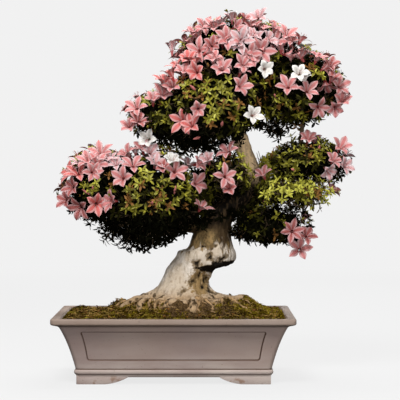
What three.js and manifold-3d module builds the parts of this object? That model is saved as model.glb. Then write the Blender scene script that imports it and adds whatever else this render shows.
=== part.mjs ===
// A flowering azalea bonsai in a footed rectangular clay pot, built as an assembly of separate solids:
// the pot, the mossed soil, the trunk with its surface roots, the boughs, and the clipped masses of foliage.
// Millimetres, +Z up, seen from the front along +Y. Working datum: the pot's centre on the standing plane.
import * as THREE from "three";
import { mergeVertices } from "three/addons/utils/BufferGeometryUtils.js";
import Module from "manifold-3d";

const wasm = await Module();
wasm.setup();

// Clearance between neighbouring solids
const GAP = 0.3;
// Edges shorter than this are collapsed after a join or a cut, and on the bark of the trunk
const CLEAN = 0.1;
const CLEAN_BARK = 0.25;

// Pot: outside sizes, wall, lip, recessed panels, bead moulding and feet
const POT = {
  width: 480,
  depth: 340,
  height: 132,
  wall: 13,
  floor: 14,
  cornerRadius: 9,
  cornerSteps: 2,
  lipFace: 6,
  lipUnder: 11,
  lipTop: 16,
  neckInset: 12,
  wallBow: { inset: 31, z: 92 },
  beadInset: 46,
  beadTop: 31,
  beadFoot: 19,
  beadSwell: 3,
  wallSteps: 5,
};
const PANEL = { top: 107, foot: 46, marginTop: 36, marginFoot: 27, sink: 2.4, rows: 3 };
const FOOT = { height: 14, sunk: 6, inset: 48, thick: 22, front: 102, side: 78, flat: 0.56 };
const DRAIN = { radius: 17, spacing: 190, sides: 12 };

// Soil: a mound with a level bed under the trunk, a few thick moss cushions and a scatter of low tussocks
const SOIL = { edge: 129, rings: 8, longSteps: 9, shortSteps: 6, slope: 120 };
const BED = { x: 28, y: 0, wide: 92, deep: 70 };
const GROUND = 152;
const CUSHIONS = [
  { x: 132, y: 12, across: 44, rise: 13 },
  { x: -112, y: -6, across: 34, rise: 11 },
  { x: 74, y: 78, across: 60, rise: 12 },
  { x: -40, y: 70, across: 52, rise: 10 },
  { x: 150, y: -70, across: 48, rise: 7 },
  { x: -90, y: -82, across: 46, rise: 6 },
  { x: -44, y: -80, across: 38, rise: 11 },
  { x: 4, y: -90, across: 38, rise: 13 },
  { x: 54, y: -90, across: 38, rise: 12 },
  { x: 102, y: -80, across: 36, rise: 9 },
];
// Tussocks stand by two irrational steps, so that they keep apart, and differ in rise by a third
const TUSSOCK = { count: 30, across: 38, rise: 3, more: 6, wide: 205, deep: 134 };
const STEPS = { x: 0.7548777, y: 0.5698403, rise: 0.6180340 };
const TUSSOCKS = Array.from({ length: TUSSOCK.count }, (_, i) => ({
  x: (((0.5 + i * STEPS.x) % 1) * 2 - 1) * TUSSOCK.wide,
  y: (((0.5 + i * STEPS.y) % 1) * 2 - 1) * TUSSOCK.deep,
  across: TUSSOCK.across,
  rise: TUSSOCK.rise + TUSSOCK.more * ((i * STEPS.rise) % 1),
}));

// Trunk: level sections from the ground cut to the tip, each a centre and half widths across and deep
const TRUNK = {
  sides: 14,
  steps: 28,
  stations: [
    { x: 27, y: 0, z: GROUND + GAP, wide: 72, deep: 58 },
    { x: 22, y: 0, z: 168, wide: 60, deep: 50 },
    { x: 20, y: 1, z: 188, wide: 50, deep: 44 },
    { x: 27, y: 2, z: 209, wide: 48, deep: 41 },
    { x: 34, y: 2, z: 222, wide: 50, deep: 41 },
    { x: 55, y: 3, z: 231, wide: 63, deep: 43 },
    { x: 65, y: 4, z: 246, wide: 61, deep: 44 },
    { x: 66, y: 4, z: 257, wide: 58, deep: 43 },
    { x: 74, y: 5, z: 264, wide: 46, deep: 41 },
    { x: 77, y: 6, z: 294, wide: 37, deep: 36 },
    { x: 87, y: 8, z: 322, wide: 32, deep: 32 },
    { x: 114, y: 10, z: 352, wide: 30, deep: 28 },
    { x: 145, y: 10, z: 382, wide: 25, deep: 24 },
    { x: 155, y: 9, z: 408, wide: 21, deep: 21 },
    { x: 152, y: 6, z: 436, wide: 18, deep: 18 },
    { x: 138, y: 2, z: 472, wide: 17, deep: 17 },
    { x: 130, y: 0, z: 500, wide: 16, deep: 16 },
    { x: 127, y: -2, z: 526, wide: 14, deep: 14 },
  ],
  flutes: [
    { lobes: 3, depth: 0.06, twist: 0.021, phase: 1.0 },
    { lobes: 5, depth: 0.04, twist: -0.03, phase: 0.4 },
  ],
};
// Surface roots: compass bearing from the trunk foot (0 is +X, 90 is +Y), reach and thickness at the trunk
const ROOTS = [
  { toward: 184, reach: 128, thick: 17, rise: 30 },
  { toward: 4, reach: 112, thick: 14, rise: 22 },
  { toward: 212, reach: 104, thick: 11, rise: 16 },
  { toward: 238, reach: 96, thick: 10, rise: 14 },
  { toward: 262, reach: 92, thick: 9, rise: 13 },
  { toward: 288, reach: 90, thick: 10, rise: 13 },
  { toward: 318, reach: 98, thick: 11, rise: 15 },
  { toward: 42, reach: 104, thick: 12, rise: 18 },
  { toward: 88, reach: 88, thick: 12, rise: 18 },
  { toward: 138, reach: 104, thick: 13, rise: 20 },
];
const ROOT = { sides: 5, steps: 4, start: 0.42, tip: 0.36, wander: 12, sunk: 0.25 };

// Foliage masses: an egg-shaped space each, with the side that blooms and how far round the bloom goes
const MASSES = [
  { name: "crown_top", at: [130, -2, 658], radii: [135, 126, 84], leave: 524, bloom: [0, -0.2, 1], edge: -0.05 },
  { name: "crown_left", at: [-10, -8, 535], radii: [95, 102, 65], leave: 500, bloom: [-0.7, -0.2, 0.7], edge: 0.1 },
  { name: "crown_right", at: [252, -4, 591], radii: [104, 104, 87], leave: 508, bloom: [0.8, -0.2, 0.5], edge: 0.05 },
  { name: "crown_front", at: [82, -90, 563], radii: [101, 78, 102], leave: 518, bloom: [0, -0.6, 0.8], edge: 0.2 },
  { name: "crown_back", at: [138, 98, 604], radii: [115, 80, 84], leave: 496, bloom: [0, 0.6, 0.8], edge: 0.15 },
  { name: "left_mass", at: [-48, -20, 369], radii: [112, 112, 107], leave: 322, bloom: [-0.1, -0.2, 1], edge: 0.4 },
  { name: "left_tip_mass", at: [-158, -8, 392], radii: [77, 90, 80], leave: 312, bloom: [-0.7, -0.3, 0.7], edge: 0.1 },
  { name: "front_mass", at: [112, -88, 413], radii: [50, 48, 57], leave: 380, bloom: [0, -0.7, 0.5], edge: 0.5 },
  { name: "back_mass", at: [122, 112, 386], radii: [91, 72, 65], leave: 356, bloom: [0, 0.5, 0.9], edge: 0.25 },
  { name: "right_mass", at: [275, 6, 440], radii: [89, 86, 52], leave: 404, bloom: [1, -0.2, 0.3], edge: 0.3 },
  { name: "right_spray", at: [249, -46, 374], radii: [79, 60, 43], leave: 382, bloom: [1, 0, 0.2], edge: 0.95 },
  { name: "right_low_mass", at: [198, 10, 304], radii: [89, 68, 55], leave: 350, bloom: [0.8, -0.3, -0.4], edge: 0.3 },
];
// Boughs: thickness at the trunk and at the mass, how far the line arches, and where in the mass they end
const BOUGH = { sides: 6, steps: 3, arch: 14, end: 0.8, tip: 0.55 };
const BOUGH_THICK = { left_mass: 15, left_tip_mass: 14, right_mass: 12, back_mass: 12, crown_top: 12 };
const BOUGH_THICK_ELSE = 10;
const BOUGH_SAG = { left_tip_mass: -34, right_low_mass: 18, back_mass: 8 };
const BOUGH_END = { right_low_mass: 0.5 };

// Growth rule of a mass: shoots spread evenly over the egg by the golden angle stand out of a clipped core, each
// with a whorl of leaves, and on the blooming side a blossom, at its tip
const SEED = 3;
const GOLDEN = Math.PI * (3 - Math.sqrt(5));
const SHELL = 1.0;
const MARGIN = 0.045;
const CORE = { depth: 24, detail: 2, small: 90, lump: 20, clear: 6, margin: 0.13 };
const STEM = { sides: 5, steps: 2 };
const SHOOTS = { perArea: 1 / 7200, root: 42, depth: 16, spread: 5, thick: 2.8, tip: 1.6, sides: 3, lift: 2 };
const LEAF = { count: 4, beside: 3, length: 44, wide: 19, thick: 2.6, sunk: 3, open: 66, clear: 1.2, over: 0.1 };
const BLOSSOM = { across: 48, notch: 0.36, cup: 15, throat: 6, sunk: 3, petals: 5, clear: 1.2 };

const COLOURS = {
  pot: { color: 0x8b7b74, roughness: 0.8 },
  soil: { color: 0x4a4220, roughness: 0.95 },
  trunk: { color: 0xa3937f, roughness: 0.85 },
  bough: { color: 0x6f5b45, roughness: 0.85 },
  foliage: { color: 0x70751f, roughness: 0.6 },
};

// A number from 0 to 1 at each call, the same run of numbers for the same seed
function seeded(seed) {
  let state = seed >>> 0;
  return () => {
    state = (state + 0x6d2b79f5) >>> 0;
    let mixed = Math.imul(state ^ (state >>> 15), state | 1);
    mixed ^= mixed + Math.imul(mixed ^ (mixed >>> 7), mixed | 61);
    return ((mixed ^ (mixed >>> 14)) >>> 0) / 4294967296;
  };
}

// A closed geometry as a solid to join and cut
function solidOf(geometry) {
  const bare = geometry.clone();
  bare.deleteAttribute("normal");
  bare.deleteAttribute("uv");
  const merged = mergeVertices(bare, 1e-3);
  const triVerts = new Uint32Array(merged.index.array);
  const vertProperties = new Float32Array(merged.attributes.position.array);
  const solid = new wasm.Manifold(new wasm.Mesh({ numProp: 3, vertProperties, triVerts }));
  if (solid.volume() > 0) return solid;
  for (let i = 0; i < triVerts.length; i += 3) {
    [triVerts[i + 1], triVerts[i + 2]] = [triVerts[i + 2], triVerts[i + 1]];
  }
  return new wasm.Manifold(new wasm.Mesh({ numProp: 3, vertProperties, triVerts }));
}

// The largest body of a solid, with sealed hollows filled and loose scraps dropped
function wholeBody(solid, clean = CLEAN) {
  const bodies = solid.simplify(clean).decompose();
  return bodies.reduce((best, body) => (body.volume() > best.volume() ? body : best));
}

// A solid as the geometry of a mesh
function geometryOf(solid) {
  const { vertProperties, triVerts, numProp } = solid.getMesh();
  const position = new THREE.BufferAttribute(new Float32Array(vertProperties), numProp);
  const geometry = new THREE.BufferGeometry().setAttribute("position", position);
  geometry.setIndex(new THREE.BufferAttribute(new Uint32Array(triVerts), 1));
  geometry.computeVertexNormals();
  return geometry;
}

function meshOf(name, solid, colour) {
  const mesh = new THREE.Mesh(geometryOf(solid), new THREE.MeshStandardMaterial({ metalness: 0, ...colour }));
  mesh.name = name;
  return mesh;
}

// A capped cylinder whose points are placed anew by bearing, share of the height and share of the radius
function bentCylinder(sides, steps, place) {
  const geometry = new THREE.CylinderGeometry(1, 1, 1, sides, steps);
  const points = geometry.attributes.position;
  for (let i = 0; i < points.count; i++) {
    const out = Math.hypot(points.getX(i), points.getZ(i));
    const bearing = Math.atan2(points.getX(i), points.getZ(i));
    points.setXYZ(i, ...place(bearing, points.getY(i) + 0.5, out).toArray());
  }
  return geometry;
}

// A tapering limb along a curve, with the radius worked out from the share of the way along it
function limbGeometry(curve, radiusAt, sides, steps) {
  const frames = curve.computeFrenetFrames(steps);
  return bentCylinder(sides, steps, (bearing, share, out) => {
    const step = Math.round(share * steps);
    const reach = radiusAt(share) * out;
    return curve
      .getPointAt(share)
      .addScaledVector(frames.normals[step], reach * Math.cos(bearing))
      .addScaledVector(frames.binormals[step], reach * Math.sin(bearing));
  });
}

// Pot

// The body's hollow curve from the neck under the lip to the bead moulding
const wallCurve = new THREE.QuadraticBezierCurve(
  new THREE.Vector2(POT.neckInset, POT.height - POT.lipUnder),
  new THREE.Vector2(POT.wallBow.inset, POT.wallBow.z),
  new THREE.Vector2(POT.beadInset, POT.beadTop),
);

// How far the body's outside stands in from the lip at a height
function wallInset(z) {
  const rows = wallCurve.getPoints(40);
  const next = rows.findIndex((row) => row.y <= z);
  if (next <= 0) return next === 0 ? rows[0].x : POT.beadInset;
  const [upper, lower] = [rows[next - 1], rows[next]];
  return THREE.MathUtils.mapLinear(z, upper.y, lower.y, upper.x, lower.x);
}

// The outline of the pot at an inset, as points counter-clockwise from the +X side
function potRing(inset) {
  const radius = Math.max(POT.cornerRadius - inset * 0.1, 3);
  const [x, y] = [POT.width / 2 - inset - radius, POT.depth / 2 - inset - radius];
  const corners = [[x, y, 0], [-x, y, 1], [-x, -y, 2], [x, -y, 3]];
  return corners.flatMap(([cx, cy, quarter]) =>
    Array.from({ length: POT.cornerSteps + 1 }, (_, i) => {
      const angle = (quarter + i / POT.cornerSteps) * (Math.PI / 2);
      return new THREE.Vector2(cx + radius * Math.cos(angle), cy + radius * Math.sin(angle));
    }),
  );
}

// A closed solid of stacked pot outlines; the profile starts and ends on the axis
function ringLoft(profile) {
  const count = potRing(0).length;
  const lathe = new THREE.LatheGeometry(profile.map((p) => new THREE.Vector2(p.axis ? 0 : 1, p.z)), count);
  const rings = profile.map((p) => (p.axis ? null : potRing(p.inset)));
  const points = lathe.attributes.position;
  for (let i = 0; i < points.count; i++) {
    const row = i % profile.length;
    const spot = rings[row]?.[Math.floor(i / profile.length) % count] ?? new THREE.Vector2();
    points.setXYZ(i, spot.x, spot.y, profile[row].z);
  }
  return lathe;
}

// Rows of a bowed wall from a height down to another, stood in by a thickness
function wallRows(from, to, steps, thick) {
  return Array.from({ length: steps + 1 }, (_, i) => {
    const z = THREE.MathUtils.lerp(from, to, i / steps);
    return { inset: wallInset(z) + thick, z };
  });
}

// A wedge that sinks a panel into one wall; turned sides lie on the pot's ends
function panelCutter(side, turned) {
  const halfWidth = (turned ? POT.depth : POT.width) / 2;
  const halfDepth = (turned ? POT.width : POT.depth) / 2;
  const box = new THREE.BoxGeometry(2, 2, 1, 1, 1, PANEL.rows);
  const points = box.attributes.position;
  for (let i = 0; i < points.count; i++) {
    const share = points.getZ(i) + 0.5;
    const z = THREE.MathUtils.lerp(PANEL.foot, PANEL.top, share);
    const margin = THREE.MathUtils.lerp(PANEL.marginFoot, PANEL.marginTop, share);
    const across = points.getX(i) * (halfWidth - wallInset(z) - margin);
    const inner = points.getY(i) > 0;
    const out = halfDepth - wallInset(z) + (inner ? -PANEL.sink : 4 * PANEL.sink);
    if (turned) points.setXYZ(i, side * out, across, z);
    else points.setXYZ(i, across, side * out, z);
  }
  return solidOf(box);
}

// One arm of a corner foot: a bracket with a scooped end, standing on the level
function footArm(length) {
  const top = FOOT.height + FOOT.sunk;
  const outline = new THREE.Shape().moveTo(0, 0).lineTo(length * FOOT.flat, 0);
  outline.quadraticCurveTo(length * 0.82, FOOT.height * 0.2, length, FOOT.height).lineTo(length, top).lineTo(0, top);
  const arm = new THREE.ExtrudeGeometry(outline, { depth: FOOT.thick, bevelEnabled: false, curveSegments: 4 });
  return arm.rotateX(Math.PI / 2).translate(0, FOOT.thick, 0);
}

// The four corner feet, an arm along the front or back and an arm along the side at each
function footSolids() {
  const [x, y] = [POT.width / 2 - FOOT.inset, POT.depth / 2 - FOOT.inset];
  const corners = [[-1, -1], [1, -1], [1, 1], [-1, 1]];
  return corners.flatMap(([sx, sy]) => {
    const long = footArm(FOOT.front).scale(-sx, -sy, 1).translate(sx * x, sy * y, 0);
    const short = footArm(FOOT.side).rotateZ(Math.PI / 2).translate(FOOT.thick, 0, 0);
    return [solidOf(long), solidOf(short.scale(-sx, -sy, 1).translate(sx * x, sy * y, 0))];
  });
}

function potSolid() {
  const rim = POT.height;
  const floorZ = FOOT.height + POT.floor;
  const beadMid = (POT.beadTop + POT.beadFoot) / 2;
  const body = solidOf(
    ringLoft([
      { axis: true, z: FOOT.height },
      { inset: POT.beadInset + 3, z: FOOT.height },
      { inset: POT.beadInset, z: POT.beadFoot },
      { inset: POT.beadInset - POT.beadSwell, z: beadMid },
      { inset: POT.beadInset - POT.beadSwell / 2, z: POT.beadTop - 1.5 },
      ...wallRows(POT.beadTop, rim - POT.lipUnder, POT.wallSteps, 0),
      { inset: 2, z: rim - POT.lipFace - 2 },
      { inset: 0, z: rim - POT.lipFace },
      { inset: 0, z: rim - 1.5 },
      { inset: 1.5, z: rim },
      { inset: POT.lipTop, z: rim },
      ...wallRows(rim - POT.lipUnder, floorZ + 6, 4, POT.wall),
      { inset: POT.beadInset + POT.wall + 4, z: floorZ },
      { axis: true, z: floorZ },
    ]),
  );
  const panels = [-1, 1].flatMap((side) => [panelCutter(side, false), panelCutter(side, true)]);
  const drains = [-1, 1].map((side) => {
    const hole = new THREE.CylinderGeometry(DRAIN.radius, DRAIN.radius, 4 * POT.floor, DRAIN.sides);
    return solidOf(hole.rotateX(Math.PI / 2).translate((side * DRAIN.spacing) / 2, 0, floorZ - POT.floor / 2));
  });
  const shell = wasm.Manifold.difference([body, ...panels]);
  return wholeBody(wasm.Manifold.difference([wasm.Manifold.union([shell, ...footSolids()]), ...drains]));
}

// Soil

// Height of the soil at a place: a mound up to the level bed, then the moss outside the bed
function soilHeight(x, y) {
  const out = Math.hypot((x - BED.x) / BED.wide, (y - BED.y) / BED.deep);
  if (out <= 1) return GROUND;
  const away = (out - 1) * ((BED.wide + BED.deep) / 2);
  const mound = THREE.MathUtils.lerp(GROUND, SOIL.edge, THREE.MathUtils.smoothstep(away, 0, SOIL.slope));
  const moss = [...CUSHIONS, ...TUSSOCKS].reduce((sum, { x: mx, y: my, across, rise }) => {
    const near = 1 - THREE.MathUtils.smoothstep(Math.hypot(x - mx, y - my), 0, across);
    return sum + rise * near;
  }, 0);
  return mound + moss * THREE.MathUtils.smoothstep(out, 1, 1.3);
}

// The soil fills the pot inside its wall; lift raises the top to cut a clearance from what lies on it
function soilSolid(lift) {
  const floorZ = FOOT.height + POT.floor + GAP;
  const rim = GAP + THREE.MathUtils.mapLinear(
    SOIL.edge,
    POT.height,
    POT.height - POT.lipUnder,
    POT.lipTop,
    POT.neckInset + POT.wall,
  );
  const rings = Array.from({ length: SOIL.rings }, (_, i) => ({ inset: rim, share: 1 - (i + 1) / SOIL.rings }));
  const rows = [
    { inset: POT.beadInset + POT.wall + 4 + GAP, z: floorZ, share: 0 },
    { inset: POT.beadInset + POT.wall + 4 + GAP, z: floorZ, share: 1 },
    ...wallRows(floorZ - GAP + 6, POT.height - POT.lipUnder, 4, POT.wall + GAP).map((row) => ({ ...row, share: 1 })),
    { inset: rim, z: SOIL.edge + lift, share: 1 },
    ...rings,
  ];
  const outlines = rows.map((row) => denseRing(row.inset));
  const count = outlines[0].length;
  const profile = rows.map((row, i) => new THREE.Vector2(row.share, i));
  const soil = new THREE.LatheGeometry(profile, count);
  const points = soil.attributes.position;
  for (let i = 0; i < points.count; i++) {
    const row = i % rows.length;
    const spot = outlines[row][Math.floor(i / rows.length) % count].clone().multiplyScalar(rows[row].share);
    points.setXYZ(i, spot.x, spot.y, rows[row].z ?? soilHeight(spot.x, spot.y) + lift);
  }
  return solidOf(soil);
}

// The pot's outline with its long and short sides divided into steps
function denseRing(inset) {
  const ring = potRing(inset);
  const side = POT.cornerSteps + 1;
  return ring.flatMap((point, i) => {
    if (i % side !== side - 1) return [point];
    const next = ring[(i + 1) % ring.length];
    const steps = Math.floor(i / side) % 2 === 0 ? SOIL.longSteps : SOIL.shortSteps;
    return Array.from({ length: steps }, (_, k) => point.clone().lerp(next, k / steps));
  });
}

// Trunk and roots

const trunkLine = new THREE.CatmullRomCurve3(TRUNK.stations.map((s) => new THREE.Vector3(s.x, s.y, s.z)));
const trunkWidth = new THREE.CatmullRomCurve3(TRUNK.stations.map((s) => new THREE.Vector3(s.wide, s.deep, 0)));

// The share of the trunk's stations at a height
function trunkShare(z) {
  let [low, high] = [0, 1];
  for (let i = 0; i < 30; i++) {
    const middle = (low + high) / 2;
    if (trunkLine.getPoint(middle).z < z) low = middle;
    else high = middle;
  }
  return (low + high) / 2;
}

function trunkGeometry(grow) {
  return bentCylinder(TRUNK.sides, TRUNK.steps, (bearing, share, out) => {
    const centre = trunkLine.getPoint(share);
    const half = trunkWidth.getPoint(share);
    const flute = TRUNK.flutes.reduce(
      (sum, f) => sum + f.depth * Math.sin(f.lobes * bearing + f.twist * centre.z + f.phase),
      1,
    );
    centre.x += out * (half.x * flute + grow) * Math.cos(bearing);
    centre.y += out * (half.y * flute + grow) * Math.sin(bearing);
    return centre;
  });
}

// A surface root that leaves the trunk's flare, wanders and dives into the soil
function rootGeometry(root, index) {
  const foot = TRUNK.stations[0];
  const draw = seeded(100 + index);
  const angle = THREE.MathUtils.degToRad(root.toward);
  const shares = [0, 0.35, 0.7, 1];
  const points = shares.map((share, i) => {
    const out = THREE.MathUtils.lerp(ROOT.start * foot.wide, root.reach, share);
    const aside = i === 0 ? 0 : (draw() - 0.5) * 2 * ROOT.wander;
    const x = foot.x + out * Math.cos(angle) - aside * Math.sin(angle);
    const y = foot.y + out * Math.sin(angle) + aside * Math.cos(angle);
    const rise = root.rise * (1 - share) ** 1.6 - root.thick * ROOT.sunk * share;
    return new THREE.Vector3(x, y, soilHeight(x, y) + rise);
  });
  const radiusAt = (share) => root.thick * THREE.MathUtils.lerp(1, ROOT.tip, share);
  return limbGeometry(new THREE.CatmullRomCurve3(points), radiusAt, ROOT.sides, ROOT.steps);
}

function trunkSolid() {
  const roots = ROOTS.map((root, i) => solidOf(rootGeometry(root, i)));
  const joined = wasm.Manifold.union([solidOf(trunkGeometry(0)), ...roots]);
  return wholeBody(joined.simplify(CLEAN_BARK).subtract(soilSolid(GAP)));
}

// Boughs

// The share of a mass's egg at which a point lies: 0 at its heart, 1 on its skin
function eggShare(mass, point) {
  const [x, y, z] = mass.at;
  const [rx, ry, rz] = mass.radii;
  return Math.hypot((point.x - x) / rx, (point.y - y) / ry, (point.z - z) / rz);
}

const heartOf = (mass) => new THREE.Vector3(...mass.at);
const radiiOf = (mass) => new THREE.Vector3(...mass.radii);

// A bough's line, from the trunk's middle to where it enters its mass's own space
function boughCurve(mass) {
  const from = trunkLine.getPoint(trunkShare(mass.leave));
  const heart = heartOf(mass);
  const inward = from.clone().sub(heart).divideScalar(eggShare(mass, from));
  let end = BOUGH_END[mass.name] ?? BOUGH.end;
  while (end > 0.4 && !inOwnSpace(mass, heart.clone().addScaledVector(inward, end), [], 0, CORE)) end -= 0.03;
  const tip = heart.clone().addScaledVector(inward, end);
  const arch = BOUGH_SAG[mass.name] ?? BOUGH.arch;
  const middle = from.clone().lerp(tip, 0.5).add(new THREE.Vector3(0, 0, arch));
  return new THREE.CatmullRomCurve3([from, middle, tip]);
}

const boughThick = (mass) => BOUGH_THICK[mass.name] ?? BOUGH_THICK_ELSE;

function boughGeometry(curve, mass, grow) {
  const thick = boughThick(mass);
  const radiusAt = (share) => thick * THREE.MathUtils.lerp(1, BOUGH.tip, share) + grow;
  return limbGeometry(curve, radiusAt, BOUGH.sides, BOUGH.steps);
}

// Foliage

// Balls along every limb, which leaves and twigs keep clear of
function limbBalls(curves) {
  const balls = [];
  for (let i = 0; i <= 60; i++) {
    const half = trunkWidth.getPoint(i / 60);
    balls.push({ at: trunkLine.getPoint(i / 60), radius: Math.max(half.x, half.y) * 1.1 });
  }
  MASSES.forEach((mass, m) => {
    for (let i = 0; i <= 14; i++) {
      const radius = boughThick(mass) * THREE.MathUtils.lerp(1, BOUGH.tip, i / 14);
      balls.push({ at: curves[m].getPointAt(i / 14), radius: radius * 1.06, tip: i === 14 ? mass : null });
    }
  });
  return balls;
}

// Whether a point lies in the mass's own space: inside its egg, nearer to it than to any other, clear of limbs
function inOwnSpace(mass, point, balls, clear, { reach = SHELL, margin = MARGIN } = {}) {
  const share = eggShare(mass, point);
  if (share > reach) return false;
  if (MASSES.some((other) => other !== mass && eggShare(other, point) < share + margin)) return false;
  return balls.every((ball) => point.distanceTo(ball.at) > ball.radius + clear);
}

// Directions spread evenly over a sphere by the golden angle, each turned a little by the seed
function evenDirections(count, draw) {
  return Array.from({ length: count }, (_, i) => {
    const up = 1 - (2 * (i + 0.5)) / count;
    const turn = i * GOLDEN + (draw() - 0.5) * 0.6;
    const flat = Math.sqrt(1 - up * up);
    return new THREE.Vector3(flat * Math.cos(turn), flat * Math.sin(turn), up);
  });
}

// A place on the way out from a mass's heart, at a share of the way or at a depth under its skin
const onEgg = (mass, way, share) => radiiOf(mass).multiply(way).multiplyScalar(share).add(heartOf(mass));
const underSkin = (mass, way, depth) => 1 - depth / radiiOf(mass).multiply(way).length();

// The dense heart of a clipped mass, drawn in wherever it would leave its space or near a limb
function coreSolid(mass, balls, draw) {
  const small = Math.max(...mass.radii) < CORE.small;
  const core = new THREE.IcosahedronGeometry(1, small ? CORE.detail - 1 : CORE.detail);
  const points = core.attributes.position;
  const shares = new Map();
  for (let i = 0; i < points.count; i++) {
    const way = new THREE.Vector3().fromBufferAttribute(points, i).normalize();
    const key = way.toArray().map((v) => v.toFixed(3)).join();
    if (!shares.has(key)) {
      let share = underSkin(mass, way, CORE.depth + (draw() - 0.5) * 2 * CORE.lump);
      const free = () => inOwnSpace(mass, onEgg(mass, way, share), balls, CORE.clear, CORE);
      while (share > 0.06 && !free()) share -= 0.04;
      shares.set(key, share);
    }
    points.setXYZ(i, ...onEgg(mass, way, shares.get(key)).toArray());
  }
  return solidOf(core);
}

// A twig from one point to another, arched upward
function twigGeometry(from, to, { thick, tip, sides, lift }) {
  const middle = from.clone().lerp(to, 0.5);
  middle.z -= lift;
  const curve = new THREE.QuadraticBezierCurve3(from, middle, to);
  return limbGeometry(curve, (share) => THREE.MathUtils.lerp(thick, tip, share), sides, 1);
}

// A pointed leaf of eight faces, from its sunk root along its way
function leafGeometry(root, way, face) {
  const side = way.clone().cross(face).normalize();
  const up = side.clone().cross(way).normalize();
  const leaf = new THREE.OctahedronGeometry(1, 0);
  const points = leaf.attributes.position;
  for (let i = 0; i < points.count; i++) {
    const [along, across, high] = [points.getX(i), points.getY(i), points.getZ(i)];
    const spot = root
      .clone()
      .addScaledVector(way, LEAF.length * (0.5 + 0.5 * along))
      .addScaledVector(side, (across * LEAF.wide) / 2)
      .addScaledVector(up, (high * LEAF.thick) / 2);
    points.setXYZ(i, ...spot.toArray());
  }
  return leaf;
}

// Two directions square to a way
function squareTo(way) {
  const aside = Math.abs(way.z) < 0.9 ? new THREE.Vector3(0, 0, 1) : new THREE.Vector3(1, 0, 0);
  const first = aside.cross(way).normalize();
  return [first, way.clone().cross(first)];
}

// A five-petalled star that opens along its way, from its sunk base
function blossomGeometry(base, way, turn) {
  const [u, v] = squareTo(way);
  const half = BLOSSOM.across / 2;
  const star = new THREE.SphereGeometry(1, 2 * BLOSSOM.petals, 2);
  const points = star.attributes.position;
  for (let i = 0; i < points.count; i++) {
    const column = i % (2 * BLOSSOM.petals + 1);
    const row = Math.floor(i / (2 * BLOSSOM.petals + 1));
    const tip = column % 2 === 0;
    const angle = turn + (column / (2 * BLOSSOM.petals)) * 2 * Math.PI;
    const out = row === 1 ? half * (tip ? 1 : BLOSSOM.notch) : 0;
    const height = [BLOSSOM.throat, BLOSSOM.cup * (tip ? 1 : 0.78), 0][row];
    const spot = base
      .clone()
      .addScaledVector(way, height)
      .addScaledVector(u, out * Math.cos(angle))
      .addScaledVector(v, out * Math.sin(angle));
    points.setXYZ(i, ...spot.toArray());
  }
  return star;
}

const cornersOf = (geometry) =>
  Array.from({ length: geometry.attributes.position.count }, (_, i) =>
    new THREE.Vector3().fromBufferAttribute(geometry.attributes.position, i),
  );

// The leaves and the blossom at the tip of a shoot
function tipPieces(mass, tip, way, balls, draw) {
  const pieces = [];
  const keep = (geometry, clear) => {
    if (cornersOf(geometry).every((p) => inOwnSpace(mass, p, balls, clear, { reach: SHELL + LEAF.over }))) pieces.push(geometry);
  };
  const outward = tip.clone().sub(heartOf(mass)).divide(radiiOf(mass)).normalize();
  const blooms = outward.dot(new THREE.Vector3(...mass.bloom).normalize()) > mass.edge;
  const [u, v] = squareTo(way);
  const spin = draw() * 2 * Math.PI;
  if (blooms) keep(blossomGeometry(tip.clone().addScaledVector(way, -BLOSSOM.sunk), way, spin), BLOSSOM.clear);
  const root = tip.clone().addScaledVector(way, -LEAF.sunk);
  const open = THREE.MathUtils.degToRad(LEAF.open + (blooms ? 20 : 0));
  const count = blooms ? LEAF.beside : LEAF.count;
  for (let i = 0; i < count; i++) {
    const angle = spin + (i / count) * 2 * Math.PI;
    const out = u.clone().multiplyScalar(Math.cos(angle)).addScaledVector(v, Math.sin(angle));
    const along = way.clone().multiplyScalar(Math.cos(open)).addScaledVector(out, Math.sin(open));
    keep(leafGeometry(root, along, way), LEAF.clear);
  }
  return pieces;
}

// One mass: the stem from its bough, the core, and the shoots with their leaves and blossoms
function massSolid(mass, index, curve, balls, wood) {
  const draw = seeded(SEED * 100 + index);
  const heart = heartOf(mass);
  const others = balls.filter((ball) => ball.tip !== mass);
  const tipWay = curve.getTangentAt(1);
  const stemFoot = curve.getPointAt(1).addScaledVector(tipWay, GAP);
  const knee = stemFoot.clone().addScaledVector(tipWay, 12);
  const stemThick = boughThick(mass) * BOUGH.tip;
  const stem = limbGeometry(
    new THREE.CatmullRomCurve3([stemFoot, knee, heart]),
    (share) => THREE.MathUtils.lerp(stemThick, stemThick * 0.7, share),
    STEM.sides,
    STEM.steps,
  );
  const pieces = [coreSolid(mass, others, draw), solidOf(stem)];
  const [rx, ry, rz] = mass.radii;
  const area = 4 * Math.PI * ((rx * ry + ry * rz + rz * rx) / 3);
  evenDirections(Math.round(area * SHOOTS.perArea), draw).forEach((way) => {
    const depth = SHOOTS.depth + (draw() - 0.5) * 2 * SHOOTS.spread;
    const tip = onEgg(mass, way, underSkin(mass, way, depth));
    const start = onEgg(mass, way, underSkin(mass, way, SHOOTS.root));
    const middle = start.clone().lerp(tip, 0.5);
    const free = [middle, tip].every((p) => inOwnSpace(mass, p, others, SHOOTS.thick + 1));
    if (!free) return;
    pieces.push(solidOf(twigGeometry(start, tip, SHOOTS)));
    const ahead = tip.clone().sub(middle).normalize();
    tipPieces(mass, tip, ahead, others, draw).forEach((piece) => pieces.push(solidOf(piece)));
  });
  return wholeBody(wasm.Manifold.union(pieces).subtract(wood));
}

// Assembly

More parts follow.
